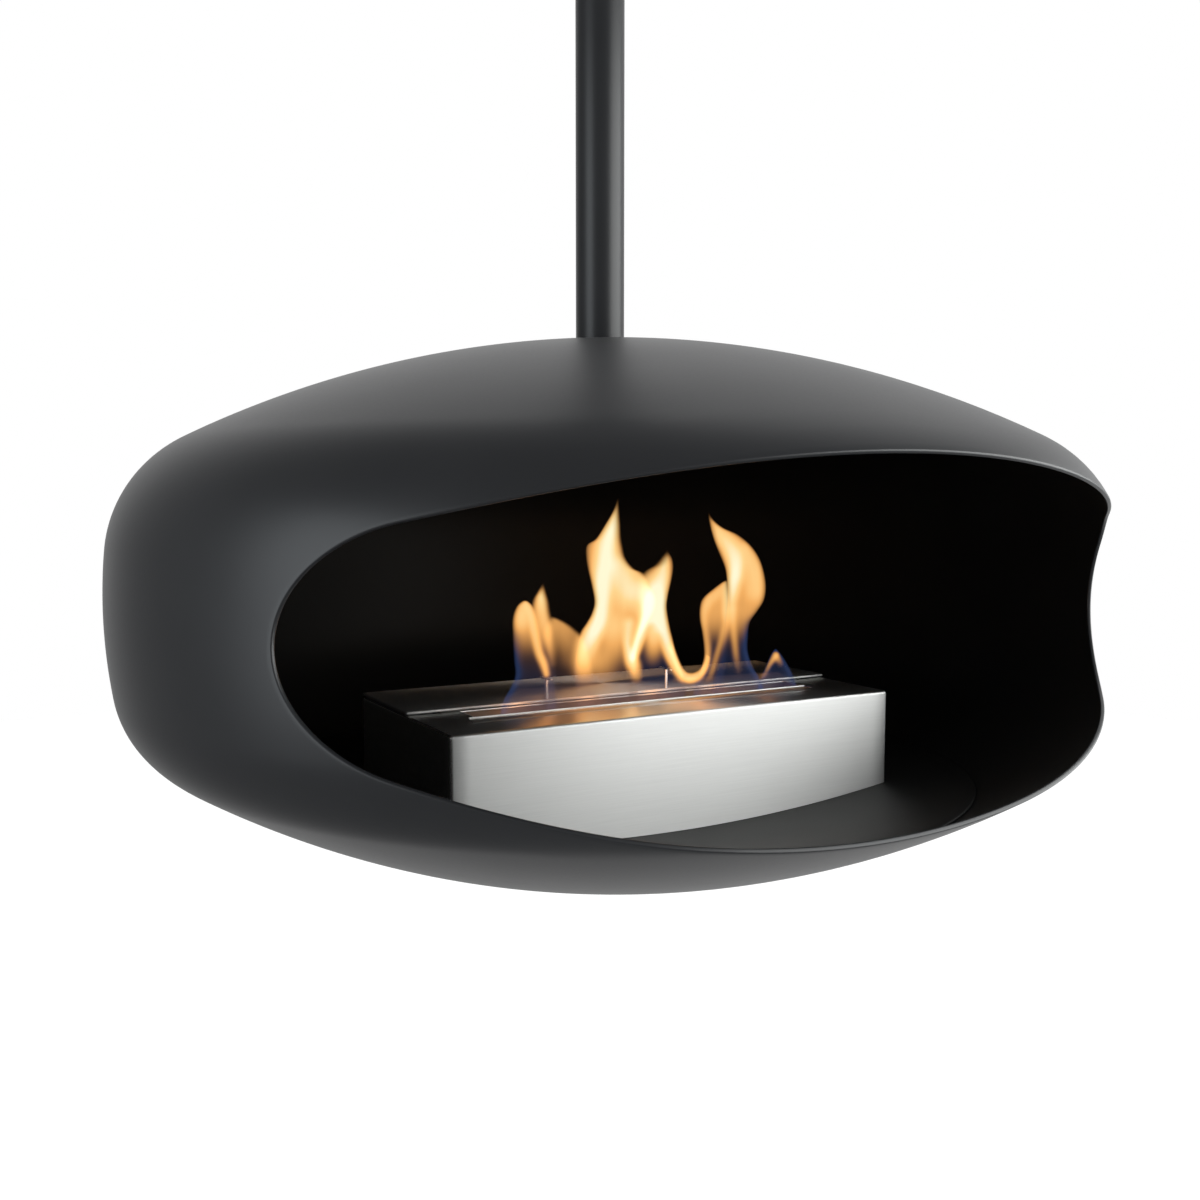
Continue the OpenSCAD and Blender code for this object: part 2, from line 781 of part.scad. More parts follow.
// ================= burner =================
// a rectangle whose upper two corners are round, or all four
module round_top(half, h, r) {
    translate([-half, 0]) square([2 * half, h - r]);
    translate([-half + r, 0]) square([2 * half - 2 * r, h]);
    for (x = [-half + r, half - r]) translate([x, h - r]) circle(r = r, $fn = 32);
}

module round_all(half, h, r) {
    intersection() {
        round_top(half, h, r);
        translate([0, h]) mirror([0, 1]) round_top(half, h, r);
    }
}

// the burner's casing as a full block, drawn in by inset: round upright corners and bent top edges
module casing_block(inset) {
    half = burner_half - inset;
    depth = burner_w - 2 * inset;
    height = bowl_drop + top_z - inset;
    reach = burner_l + burner_w;
    translate([0, front_y + inset, -bowl_drop]) intersection() {
        linear_extrude(height = height) round_all(half, depth, casing_corner_r - inset);
        translate([0, reach / 2, 0]) rotate([90, 0, 0]) linear_extrude(height = reach)
            round_top(half, height, casing_bend_r - inset);
        translate([-reach / 2, depth / 2, 0]) rotate([90, 0, 90]) linear_extrude(height = reach)
            round_top(depth / 2, height, casing_bend_r - inset);
    }
}

module guide_slots(z0, z1) {
    length = lid_travel + lid_stud_pitch;
    for (side = [-1, 1]) translate([side * lid_stud_x, guide_front_y + guide_half_w, 0]) {
        rod(guide_half_w, z0, z1);
        translate([0, length, 0]) rod(guide_half_w, z0, z1);
        slab(guide_half_w, 0, length, z0, z1);
    }
}

module tank_stud_places() {
    for (x = [-tank_stud_x, 0, tank_stud_x]) {
        translate([x, tank_front_y - tank_flange_side / 2, 0]) children();
        translate([x, tank_back_y + tank_flange_side / 2, 0]) children();
    }
}

module burner_casing() {
    color(stainless) at_body() {
        intersection() {
            difference() {
                casing_block(0);
                casing_block(sheet_t);
                slab(slot_half, slot_front_y, slot_back_y, under_top_z - cut, top_z + cut);
                guide_slots(under_top_z - cut, top_z + cut);
            }
            above_hearth(floor_gap);
        }
        slab(slot_half, slot_front_y - lip_t, slot_front_y, top_z, top_z + lip_h);
    }
}

module fuel_tank() {
    flange_z = under_top_z - sheet_t;
    color(stainless) at_body() difference() {
        union() {
            slab(tank_half, tank_front_y, tank_back_y, tank_bottom_z, flange_z + sheet_t / 2);
            slab(tank_half + tank_flange, tank_front_y - tank_flange_side,
                tank_back_y + tank_flange_side, flange_z, under_top_z);
        }
        slab(tank_half - sheet_t, tank_front_y + sheet_t, tank_back_y - sheet_t,
            tank_bottom_z + sheet_t, under_top_z + cut);
        tank_stud_places() rod(tank_stud_r + bolt_gap, flange_z - cut, under_top_z + cut);
    }
}

module tank_studs() {
    color(zinc) at_body() tank_stud_places() rod(tank_stud_r, under_top_z - tank_stud_l, under_top_z);
}

module tank_nuts() {
    nut_top = under_top_z - sheet_t;
    color(zinc) at_body() tank_stud_places() difference() {
        translate([0, 0, nut_top - tank_nut_h]) cylinder(r = tank_nut_r, h = tank_nut_h, $fn = 6);
        rod(tank_stud_r + running_gap, nut_top - tank_nut_h - cut, nut_top + cut);
    }
}

module wick_fibre() {
    color(wool) at_body() slab(tank_half - sheet_t - fibre_gap, tank_front_y + sheet_t + fibre_gap,
        tank_back_y - sheet_t - fibre_gap, tank_bottom_z + sheet_t, wick_top_z);
}

module fibre_guard() {
    holes = 2 * floor((tank_half - 2 * guard_pitch) / guard_pitch);
    guard_mid_y = (tank_front_y + tank_back_y) / 2;
    color(stainless) at_body() difference() {
        slab(tank_half - sheet_t - fibre_gap, tank_front_y + sheet_t + fibre_gap,
            tank_back_y - sheet_t - fibre_gap, wick_top_z, wick_top_z + guard_t);
        for (i = [0:holes], j = [0:guard_rows - 1]) {
            x = (i - holes / 2) * guard_pitch;
            y = guard_mid_y + (j - (guard_rows - 1) / 2) * guard_pitch;
            translate([x, y, 0]) rod(guard_hole_r, wick_top_z - cut, wick_top_z + guard_t + cut);
        }
    }
}

// ================= lid =================
module lid_stud_places() {
    for (side = [-1, 1], i = [0, 1])
        translate([side * lid_stud_x, first_stud_y + i * lid_stud_pitch, 0]) children();
}

module lid_plate() {
    color(stainless) at_body() slab(burner_half, lid_front_y, back_y, lid_z, lid_z + lid_t);
}

// upright hooks that lean forward over the lid's front edge
module lid_tabs() {
    rear = lid_front_y + tab_inset;
    base = lid_z + lid_t;
    color(stainless) at_body() for (x = [tab_left_x, tab_right_x])
        translate([x - tab_t / 2, 0, 0]) rotate([90, 0, 90]) linear_extrude(height = tab_t) polygon([
            [rear, base],
            [rear, base + tab_h],
            [rear - tab_head_w, base + tab_h],
            [rear - tab_head_w, base + tab_h - tab_head_h],
            [rear - tab_foot_w, base]
        ]);
}

module lid_studs() {
    rest_gap = 0.05;
    collar_r = 6;
    color(zinc) at_body() lid_stud_places() {
        rod(collar_r, top_z + rest_gap, lid_z);
        rod(lid_stud_r, under_top_z - lid_stud_reach, lid_z);
    }
}

module lid_clips() {
    clip_top = under_top_z - 0.5;
    color(zinc) at_body() lid_stud_places()
        ring(clip_r, lid_stud_r + running_gap, clip_top - clip_t, clip_top);
}

ceiling_plate();
swivel_housing();
housing_screws();
guide_bush();
bearing_lower_race();
bearing_balls();
bearing_cage();
bearing_upper_race();
swivel_stem();
tab_washer();
stem_nut();
canopy();
canopy_collar();
canopy_screws();
pole();
pole_bolts();
pole_bolt_nuts();
pole_foot();
pole_end_cap();
body_shell();
crown_studs();
crown_washers();
crown_nuts();
hearth_pillars();
hearth_plate();
hearth_bolts();
cradle_plates();
cradle_rails();
drip_tray();
burner_casing();
fuel_tank();
tank_studs();
tank_nuts();
wick_fibre();
fibre_guard();
lid_plate();
lid_tabs();
lid_studs();
lid_clips();
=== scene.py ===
import math
import bmesh
import bpy
import numpy as np
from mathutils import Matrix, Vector


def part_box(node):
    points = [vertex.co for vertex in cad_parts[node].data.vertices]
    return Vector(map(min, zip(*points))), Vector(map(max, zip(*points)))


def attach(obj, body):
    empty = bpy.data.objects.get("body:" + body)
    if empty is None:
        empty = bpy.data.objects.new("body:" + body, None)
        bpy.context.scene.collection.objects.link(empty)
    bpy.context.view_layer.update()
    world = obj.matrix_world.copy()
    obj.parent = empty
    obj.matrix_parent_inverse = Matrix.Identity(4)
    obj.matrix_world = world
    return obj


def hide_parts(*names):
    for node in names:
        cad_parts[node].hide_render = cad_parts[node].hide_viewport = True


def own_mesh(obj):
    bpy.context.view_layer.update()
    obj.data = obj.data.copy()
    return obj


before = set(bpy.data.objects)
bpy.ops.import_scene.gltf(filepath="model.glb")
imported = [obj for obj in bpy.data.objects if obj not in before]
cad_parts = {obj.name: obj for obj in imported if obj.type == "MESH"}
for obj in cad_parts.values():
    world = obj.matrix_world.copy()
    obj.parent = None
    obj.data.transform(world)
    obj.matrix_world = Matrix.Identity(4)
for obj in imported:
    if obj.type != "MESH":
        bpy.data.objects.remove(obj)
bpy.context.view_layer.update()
scene = bpy.context.scene
bodyShift = np.array([0.0, -0.026, -0.905])  # the shell's own centre, seen from the ceiling point
print("frame loaded:", len(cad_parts), "nodes")

# the camera stands low, at the front left, as in the photograph; angles are in degrees
view = {"lens": 36.23, "sensor": 36.0, "azimuth": -29.193, "elevation": 5.0, "distance": 1.278667,
        "target": (0.0, 0.0, -0.913884), "farLimit": 60.0}


def outward(azimuth, elevation=0.0):
    # from the middle of the scene towards these angles: azimuth runs from the front to the right
    turn, lift = math.radians(azimuth), math.radians(elevation)
    return Vector((math.sin(turn) * math.cos(lift), -math.cos(turn) * math.cos(lift), math.sin(lift)))


def addCamera():
    data = bpy.data.cameras.new("camera")
    data.lens = view["lens"]
    data.sensor_width = view["sensor"]
    data.clip_end = view["farLimit"]
    camera = bpy.data.objects.new("camera", data)
    scene.collection.objects.link(camera)
    out = outward(view["azimuth"], view["elevation"])
    camera.location = Vector(view["target"]) + view["distance"] * out
    camera.rotation_euler = (-out).to_track_quat("-Z", "Y").to_euler()
    scene.camera = camera


addCamera()


def plug(tree, socket, value):
    if isinstance(value, Wire):
        tree.links.new(value.socket, socket)
    else:
        socket.default_value = value


class Wire:
    # a socket that Python can calculate with: each operator adds one Math node
    def __init__(self, tree, socket):
        self.tree = tree
        self.socket = socket

    def math(self, operation, first, second=0.0):
        node = self.tree.nodes.new("ShaderNodeMath")
        node.operation = operation
        plug(self.tree, node.inputs[0], first)
        plug(self.tree, node.inputs[1], second)
        return Wire(self.tree, node.outputs[0])

    def __add__(self, other):
        return self.math("ADD", self, other)

    def __sub__(self, other):
        return self.math("SUBTRACT", self, other)

    def __rsub__(self, other):
        return self.math("SUBTRACT", other, self)

    def __mul__(self, other):
        return self.math("MULTIPLY", self, other)

    def __abs__(self):
        return self.math("ABSOLUTE", self)

    __radd__ = __add__
    __rmul__ = __mul__


class Finish:
    # one material: a node tree round one principled shader
    def __init__(self, name, sockets):
        self.material = bpy.data.materials.new(name)
        self.material.use_nodes = True
        self.tree = self.material.node_tree
        self.shader = self.tree.nodes["Principled BSDF"]
        self.feed(sockets)

    def feed(self, sockets):
        for name, value in sockets.items():
            plug(self.tree, self.shader.inputs[name], value)

    def node(self, kind, settings=None, sockets=None, output=0):
        made = self.tree.nodes.new("ShaderNode" + kind)
        for name, value in (settings or {}).items():
            if name == "stops":
                self.setStops(made.color_ramp.elements, value)
            else:
                setattr(made, name, value)
        for name, value in (sockets or {}).items():
            plug(self.tree, made.inputs[name], value)
        return Wire(self.tree, made.outputs[output])

    def setStops(self, stops, values):
        # a new ramp has two stops already
        for _ in values[2:]:
            stops.new(1.0)
        for stop, (position, colour) in zip(stops, values):
            stop.position = position
            stop.color = (*colour, 1.0)

    def place(self, scale=(1.0, 1.0, 1.0)):
        coords = self.node("TexCoord", output="Object")
        return self.node("Mapping", None, {"Vector": coords, "Scale": scale})

    def noise(self, scale, detail=2.0, stretch=(1.0, 1.0, 1.0), roughness=0.5):
        return self.node("TexNoise", None, {"Vector": self.place(stretch), "Scale": scale,
                                            "Detail": detail, "Roughness": roughness})

    def blend(self, factor, first, second):
        colours = {0: factor, 6: (*first, 1.0), 7: (*second, 1.0)}
        return self.node("Mix", {"data_type": "RGBA"}, colours, 2)

    def bump(self, height, strength, distance):
        normal = self.node("Bump", None, {"Height": height, "Strength": strength, "Distance": distance})
        self.feed({"Normal": normal})


# the fine skin of sprayed paint; depths of all finishes are in metres
peelSkin = {"detail": 3.0, "coarse": 0.6, "gloss": 0.05, "depth": 0.0004}


def paint(name, look):
    # stoved black paint: faint clouds in tone and gloss over a fine peel
    finish = Finish(name, {"Specular IOR Level": look["specular"]})
    clouds = finish.noise(look["cloudScale"], 4.0)
    peel = finish.noise(look["peelScale"], peelSkin["detail"], roughness=peelSkin["coarse"])
    cloudGloss = (clouds - 0.5) * look["glossSpread"]
    finish.feed({
        "Base Color": finish.blend(clouds, look["dark"], look["light"]),
        "Roughness": look["roughness"] + cloudGloss + (peel - 0.5) * peelSkin["gloss"],
    })
    finish.bump(peel, look["peel"], peelSkin["depth"])
    return finish


# brush streaks turn from X to Y where the normal's X passes these two values
streaks = {"detail": 3.0, "coarse": 0.7, "turnFrom": 0.5, "turnTo": 0.8, "smudgeShare": 0.25,
           "smudgeGloss": 0.06, "depth": 0.0003}


def brushed(name, look):
    # fine streaks: the noise is stretched along X, and along Y on faces that look sideways
    finish = Finish(name, {"Metallic": 1.0, "Anisotropic": 0.8, "Anisotropic Rotation": 0.25})
    run, fine, coarse = look["run"], look["streak"], streaks["coarse"]
    along = finish.noise(1.0, streaks["detail"], (run, fine, fine), coarse)
    across = finish.noise(1.0, streaks["detail"], (fine, run, fine), coarse)
    normal = finish.node("NewGeometry", output="Normal")
    side = abs(finish.node("SeparateXYZ", None, {"Vector": normal}, "X"))
    mask = finish.node("MapRange", {"interpolation_type": "SMOOTHSTEP"},
                       {"Value": side, "From Min": streaks["turnFrom"], "From Max": streaks["turnTo"]})
    grain = along * (1 - mask) + across * mask
    smudge = finish.noise(look["smudgeScale"], 3.0)
    smudgeShare = streaks["smudgeShare"]
    # upright corners are rubbed bright, and the top is smoother than the sides
    lift = abs(finish.node("SeparateXYZ", None, {"Vector": normal}, "Z"))
    bend = side * (1 - side) * 4
    tone = grain * (1 - smudgeShare) + smudge * smudgeShare
    gloss = (grain - 0.5) * look["spread"] + (smudge - 0.5) * streaks["smudgeGloss"]
    finish.feed({
        "Base Color": finish.blend(tone, look["dark"], look["light"]),
        "Roughness": look["roughness"] + gloss - bend * look["rubbed"] - lift * look["smoothTop"],
    })
    finish.bump(grain, look["depth"], streaks["depth"])
    return finish


def sooted(name, look):
    # steel that the fire has stained: brown heat tint under grey soot
    finish = Finish(name, {"Metallic": 1.0})
    stain = finish.noise(look["stainScale"], 4.0)
    soot = finish.noise(look["sootScale"], 5.0)
    finish.feed({
        "Base Color": finish.blend(stain, look["dark"], look["light"]),
        "Metallic": 1 - soot * look["dulled"],
        "Roughness": look["roughness"] + (soot - 0.5) * look["glossSpread"],
    })
    finish.bump(soot, look["bump"], look["depth"])
    return finish


metalGrain = {"mottleGloss": 0.16, "scratchGloss": 0.08, "bump": 0.08, "depth": 0.0003}


def metal(name, look):
    # plain metal with a mottled surface, plated, turned or cast
    finish = Finish(name, {"Metallic": 1.0})
    mottle = finish.noise(look["mottleScale"], 5.0)
    scratch = finish.noise(1.0, 2.0, look["scratch"])
    mottleGloss = (mottle - 0.5) * metalGrain["mottleGloss"]
    finish.feed({
        "Base Color": finish.blend(mottle, look["dark"], look["light"]),
        "Roughness": look["roughness"] + mottleGloss + (scratch - 0.5) * metalGrain["scratchGloss"],
    })
    finish.bump(mottle * 0.5 + scratch * 0.5, metalGrain["bump"], metalGrain["depth"])
    return finish


def fibre(name, look):
    # pressed ceramic wool: matted threads and small pits
    finish = Finish(name, {"Roughness": 0.95, "Specular IOR Level": 0.2})
    threads = finish.noise(1.0, 6.0, look["threads"], 0.7)
    pits = finish.noise(look["pitScale"], 3.0)
    tone, relief = look["threadTone"], look["threadRelief"]
    finish.feed({"Base Color": finish.blend(threads * tone + pits * (1 - tone), look["dark"], look["light"])})
    finish.bump(threads * relief + pits * (1 - relief), look["bump"], look["depth"])
    return finish


def fire(name, look):
    # burning vapour, thin and bright: glow, blue and veil are numbers on the tongues' own points
    finish = Finish(name, {"Base Color": (0.0, 0.0, 0.0, 1.0), "Roughness": 1.0, "Specular IOR Level": 0.0,
                           "Emission Strength": look["strength"] / look["cover"]})
    glow, blue, veil = (finish.node("Attribute", {"attribute_name": label}, output="Fac")
                        for label in ("glow", "blue", "veil"))
    wisp = finish.noise(1.0, 2.0, look["wispScale"])
    ramp = finish.node("ValToRGB", {"stops": look["stops"]}, {"Fac": glow + (wisp - 0.5) * look["wisp"]})
    light = finish.node("Mix", {"data_type": "RGBA"}, {0: blue, 6: ramp, 7: (*look["blue"], 1.0)}, 2)
    # the picture clips the fire's brightness but not its dimmer image in steel: glossy rays get a share more
    mirrored = finish.node("LightPath", output="Is Glossy Ray")
    more = finish.node("VectorMath", {"operation": "SCALE"}, {0: look["mirrored"], "Scale": mirrored})
    light = finish.node("VectorMath", {"operation": "MULTIPLY_ADD"}, {0: light, 1: more, 2: light})
    thin = wisp * look["wisp"] + 1 - look["wisp"] * 0.5
    finish.feed({"Emission Color": light, "Alpha": veil * thin * look["cover"]})
    finish.material.cycles.emission_sampling = "NONE"
    return finish


finishes = {
    "black_coat": paint("blackCoat", {
        "dark": (0.0075, 0.0082, 0.0096), "light": (0.0122, 0.0132, 0.0152), "specular": 0.5,
        "roughness": 0.37, "glossSpread": 0.05, "cloudScale": 7.0, "peelScale": 420.0, "peel": 0.05}),
    "black_inside": paint("blackInside", {
        "dark": (0.005, 0.005, 0.005), "light": (0.011, 0.011, 0.011), "specular": 0.35,
        "roughness": 0.55, "glossSpread": 0.08, "cloudScale": 9.0, "peelScale": 520.0, "peel": 0.08}),
    "stainless": brushed("brushedStainless", {
        "dark": (0.68, 0.68, 0.67), "light": (0.84, 0.84, 0.83), "roughness": 0.52, "spread": 0.10,
        "run": 14.0, "streak": 1100.0, "smudgeScale": 14.0, "depth": 0.04, "rubbed": 0.28,
        "smoothTop": 0.10}),
    "zinc_steel": metal("zincSteel", {
        "dark": (0.42, 0.43, 0.44), "light": (0.62, 0.63, 0.62), "roughness": 0.40,
        "mottleScale": 240.0, "scratch": (60.0, 60.0, 400.0)}),
    "bearing_steel": metal("bearingSteel", {
        "dark": (0.50, 0.50, 0.51), "light": (0.66, 0.66, 0.67), "roughness": 0.20,
        "mottleScale": 120.0, "scratch": (300.0, 300.0, 900.0)}),
    "bronze": metal("bronze", {
        "dark": (0.45, 0.25, 0.10), "light": (0.66, 0.42, 0.19), "roughness": 0.34,
        "mottleScale": 180.0, "scratch": (200.0, 200.0, 800.0)}),
    "ceramic_fibre": fibre("ceramicFibre", {
        "dark": (0.46, 0.44, 0.40), "light": (0.80, 0.78, 0.73), "threads": (260.0, 900.0, 700.0),
        "pitScale": 90.0, "threadTone": 0.6, "threadRelief": 0.7, "bump": 0.5, "depth": 0.001}),
}
# the lid and the lip are duller than the casing
rubbedStainless = brushed("rubbedStainless", {
    "dark": (0.70, 0.70, 0.69), "light": (0.86, 0.86, 0.85), "roughness": 0.58, "spread": 0.10,
    "run": 14.0, "streak": 1100.0, "smudgeScale": 14.0, "depth": 0.04, "rubbed": 0.10, "smoothTop": 0.0})
sootedSteel = sooted("sootedSteel", {
    "dark": (0.085, 0.072, 0.062), "light": (0.22, 0.165, 0.125), "roughness": 0.55,
    "stainScale": 40.0, "sootScale": 120.0, "dulled": 0.8, "glossSpread": 0.3, "bump": 0.1,
    "depth": 0.0004})
sootedNodes = ("fuel_tank", "fibre_guard", "tank_studs", "tank_nuts")
fireFinish = fire("fire", {
    "strength": 0.66, "cover": 0.42, "wisp": 0.14, "wispScale": (70.0, 70.0, 16.0),
    "mirrored": (1.0, 0.62, 0.30), "blue": (0.050, 0.085, 0.230),
    "stops": [(0.0, (0.26, 0.150, 0.110)), (0.25, (0.62, 0.27, 0.085)), (0.5, (0.98, 0.47, 0.135)),
              (0.75, (1.0, 0.68, 0.28)), (1.0, (1.0, 0.95, 0.66))],
})

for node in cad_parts.values():
    for place in node.material_slots:
        slotName = place.material.name.split(".")[0] if place.material else ""
        if slotName not in finishes:
            print("no finish for", node.name, slotName)
        chosen = sootedSteel if node.name in sootedNodes else finishes.get(slotName, finishes["zinc_steel"])
        place.material = chosen.material
print("finishes done")

# edges bent by more degrees than sharp stay sharp, and points nearer than weld, in metres, become one
meshRules = {"sharp": 40.0, "weld": 1e-6}


def gridMesh(name, grid, bands=None, closed=False, sharp=meshRules["sharp"]):
    # points in rows and columns: the columns close into a ring, and the rows do where closed is true
    rows, columns = grid.shape[:2]
    index = np.arange(rows * columns).reshape(rows, columns)
    upper = index if closed else index[:-1]
    lower = np.roll(index, -1, 0) if closed else index[1:]
    faces = np.stack([upper, lower, np.roll(lower, -1, 1), np.roll(upper, -1, 1)], -1).reshape(-1, 4)
    mesh = bpy.data.meshes.new(name)
    mesh.from_pydata(grid.reshape(-1, 3).tolist(), [], faces.tolist())
    if bands is not None:
        mesh.polygons.foreach_set("material_index", np.repeat(bands, columns).astype(np.int32))
    shape = bmesh.new()
    shape.from_mesh(mesh)
    bmesh.ops.remove_doubles(shape, verts=shape.verts, dist=meshRules["weld"])
    bmesh.ops.recalc_face_normals(shape, faces=shape.faces)
    shape.to_mesh(mesh)
    shape.free()
    mesh.shade_smooth()
    mesh.set_sharp_from_angle(angle=math.radians(sharp))
    return mesh


def joined(name, meshes):
    # several closed meshes in one
    whole = bmesh.new()
    for mesh in meshes:
        whole.from_mesh(mesh)
    mesh = bpy.data.meshes.new(name)
    whole.to_mesh(mesh)
    whole.free()
    mesh.set_sharp_from_angle(angle=math.radians(meshRules["sharp"]))
    return mesh


def addPiece(name, mesh, body, slots, stands=()):
    piece = bpy.data.objects.new(name, mesh)
    scene.collection.objects.link(piece)
    for slotName in slots:
        mesh.materials.append(finishes[slotName].material)
    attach(piece, body)
    if stands:
        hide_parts(*stands)
    return piece


def arcPoints(centre, radius, start, end, steps):
    # points on a circle from one angle to another, in degrees
    angle = np.radians(np.linspace(start, end, steps + 1))
    return np.stack([centre[0] + radius * np.cos(angle), centre[1] + radius * np.sin(angle)], -1)


def revolve(profile, turns=96, centre=(0.0, 0.0)):
    # a profile of distance and height, turned about an upright axis
    angle = np.linspace(0.0, 2.0 * math.pi, turns, endpoint=False)
    flat = profile[:, :1]
    return np.stack([centre[0] + flat * np.cos(angle), centre[1] + flat * np.sin(angle),
                     np.repeat(profile[:, 1:], turns, 1)], -1)


def roundedRectangle(halfWidth, front, back, radius, corner=5, long=30, short=12):
    # a ring of points round a rectangle with round corners, the same count on each side for any size
    right, far, near = halfWidth - radius, back - radius, front + radius
    corners = [arcPoints(centre, radius, start, start + 90.0, corner) for centre, start in (
        ((right, near), -90.0), ((right, far), 0.0), ((-right, far), 90.0), ((-right, near), 180.0))]
    parts = []
    for i, ring in enumerate(corners):
        following = corners[(i + 1) % 4]
        share = np.linspace(0.0, 1.0, (short if i % 2 == 0 else long) + 1)[1:-1, None]
        parts += [ring, ring[-1] * (1 - share) + following[0] * share]
    return np.concatenate(parts)


def atHeight(ring, height):
    # a flat ring of points lifted to one height, or to a height for each point
    return np.concatenate([ring, np.broadcast_to(height, (len(ring),))[:, None]], -1)


# the shell is one skin about an upright axis, with an eye-shaped opening and a rounded rim
shell = {"radius": 0.490, "crownRise": 0.255, "bowlDrop": 0.276, "wall": 0.004, "sideRadius": 0.510,
         "crownAngle": 6.0, "bowlAngle": 9.0, "crownShoulder": 0.129, "bowlShoulder": 0.097,
         "rimRound": 0.0013, "rimSteps": 5, "arcSteps": 300, "columns": 448, "rows": 84,
         "rowsTo": 0.965, "lastRows": [0.98, 0.99, 0.996, 1.0]}
opening = {"halfWidth": 0.417, "endRadius": 0.092, "topRadius": 1.270, "bottomRadius": 1.030,
           "height": -0.004, "middle": (0.0, -0.45, 0.0), "endSteps": 200, "longSteps": 400}


def quarterProfile(rise, angle, shoulder):
    # side arc, shoulder arc and dome arc, each tangent to the next: distance, height and the normal's angle
    side = shell["sideRadius"]
    sideX = shell["radius"] - side
    lean = math.radians(angle)
    shoulderX = sideX + (side - shoulder) * math.cos(lean)
    shoulderZ = (side - shoulder) * math.sin(lean)
    dome = (shoulderX ** 2 + (rise - shoulderZ) ** 2 - shoulder ** 2) / (2 * (rise - shoulderZ - shoulder))
    domeAngle = math.atan2(shoulderZ - (rise - dome), shoulderX)
    arcs = ((sideX, 0.0, side, 0.0, lean), (shoulderX, shoulderZ, shoulder, lean, domeAngle),
            (0.0, rise - dome, dome, domeAngle, math.pi / 2))
    parts = []
    for x, z, radius, start, end in arcs:
        turn = np.linspace(start, end, shell["arcSteps"])
        parts.append(np.stack([x + radius * np.cos(turn), z + radius * np.sin(turn), turn], -1))
    return np.concatenate(parts)


crownProfile = quarterProfile(shell["crownRise"], shell["crownAngle"], shell["crownShoulder"])
bowlProfile = quarterProfile(shell["bowlDrop"], shell["bowlAngle"], shell["bowlShoulder"])
skin = np.concatenate([(bowlProfile * (1, -1, -1))[::-1], crownProfile])
skinElevation = np.arctan2(skin[:, 1], skin[:, 0])


def onSkin(direction, inset=0.0):
    # where a ray from the centre leaves the shell, moved in along the face's normal
    elevation = np.arcsin(np.clip(direction[..., 2], -1, 1))
    flat = np.hypot(direction[..., 0], direction[..., 1])[..., None]
    around = direction[..., :2] / np.maximum(flat, 1e-9)
    radius, height, turn = (np.interp(elevation, skinElevation, skin[:, k])[..., None] for k in range(3))
    normal = np.concatenate([around * np.cos(turn), np.sin(turn)], -1)
    return np.concatenate([around * radius, height], -1) - inset * normal, normal


def openingOutline(count):
    # four tangent arcs in the front view, spaced evenly by length
    end, far = opening["endRadius"], opening["halfWidth"] - opening["endRadius"]
    endSteps, longSteps = opening["endSteps"], opening["longSteps"]
    drop = {k: math.sqrt((opening[k] - end) ** 2 - far ** 2) for k in ("topRadius", "bottomRadius")}
    top = math.degrees(math.atan2(drop["topRadius"], far))
    low = math.degrees(math.atan2(drop["bottomRadius"], far))
    line = np.concatenate([
        arcPoints((far, 0.0), end, -low, top, endSteps),
        arcPoints((0.0, -drop["topRadius"]), opening["topRadius"], top, 180 - top, longSteps)[1:],
        arcPoints((-far, 0.0), end, 180 - top, 180 + low, endSteps)[1:],
        arcPoints((0.0, drop["bottomRadius"]), opening["bottomRadius"], 180 + low, 360 - low, longSteps)[1:],
    ])
    length = np.concatenate([[0.0], np.cumsum(np.linalg.norm(np.diff(line, axis=0), axis=1))])
    even = np.linspace(0.0, length[-1], count, endpoint=False)
    return np.stack([np.interp(even, length, line[:, k]) for k in range(2)], -1)


def unit(vectors):
    # the same directions, each of length one
    return vectors / np.linalg.norm(vectors, axis=-1, keepdims=True)


def shellGrid():
    # rows run from the middle of the back round to the rim outside, over the rim, and back inside
    outline = openingOutline(shell["columns"])
    height = outline[:, 1] + opening["height"]
    reach = np.interp(height, skin[:, 1], skin[:, 0])
    rim = np.stack([outline[:, 0], -np.sqrt(reach ** 2 - outline[:, 0] ** 2), height], -1)
    normal = onSkin(unit(rim))[1]
    along = unit(np.roll(rim, -1, 0) - np.roll(rim, 1, 0))
    inward = unit(np.cross(normal, along))
    inward *= np.sign(np.sum(inward * (np.array(opening["middle"]) - rim), -1, keepdims=True))
    soft, wall = shell["rimRound"], shell["wall"]
    last = unit(rim - soft * inward)
    back = np.array([0.0, 1.0, 0.0])
    swing = np.arccos(last[:, 1])
    away = unit(last - last[:, 1:2] * back)
    share = np.concatenate([np.linspace(0.0, shell["rowsTo"], shell["rows"]), shell["lastRows"]])
    turn = share[:, None] * swing
    direction = np.cos(turn)[..., None] * back + np.sin(turn)[..., None] * away
    outer = onSkin(direction)[0]
    inner = onSkin(direction, wall)[0]
    bend = np.radians(np.linspace(0.0, 90.0, shell["rimSteps"]))[:, None, None]
    start = outer[-1]
    first = start - soft * normal + soft * (np.cos(bend) * normal + np.sin(bend) * inward)
    second = start - (wall - soft) * normal + soft * (np.cos(bend) * inward - np.sin(bend) * normal)
    # inside, every second row is enough
    coarse = np.concatenate([np.arange(0, shell["rows"], 2), np.arange(shell["rows"], len(share) - 1)])
    grid = np.concatenate([outer[:-1], first, second, inner[coarse[::-1]]])
    bands = np.zeros(len(grid) - 1, int)
    bands[len(outer) - 1 + len(first) + len(second) - 1:] = 1
    return grid + bodyShift, bands


grid, bands = shellGrid()
addPiece("shellSkin", gridMesh("shellSkin", grid, bands, sharp=60.0), "hanger",
         ["black_coat", "black_inside"], ["body_shell"])
print("shell:", grid.shape[0] * grid.shape[1], "points")

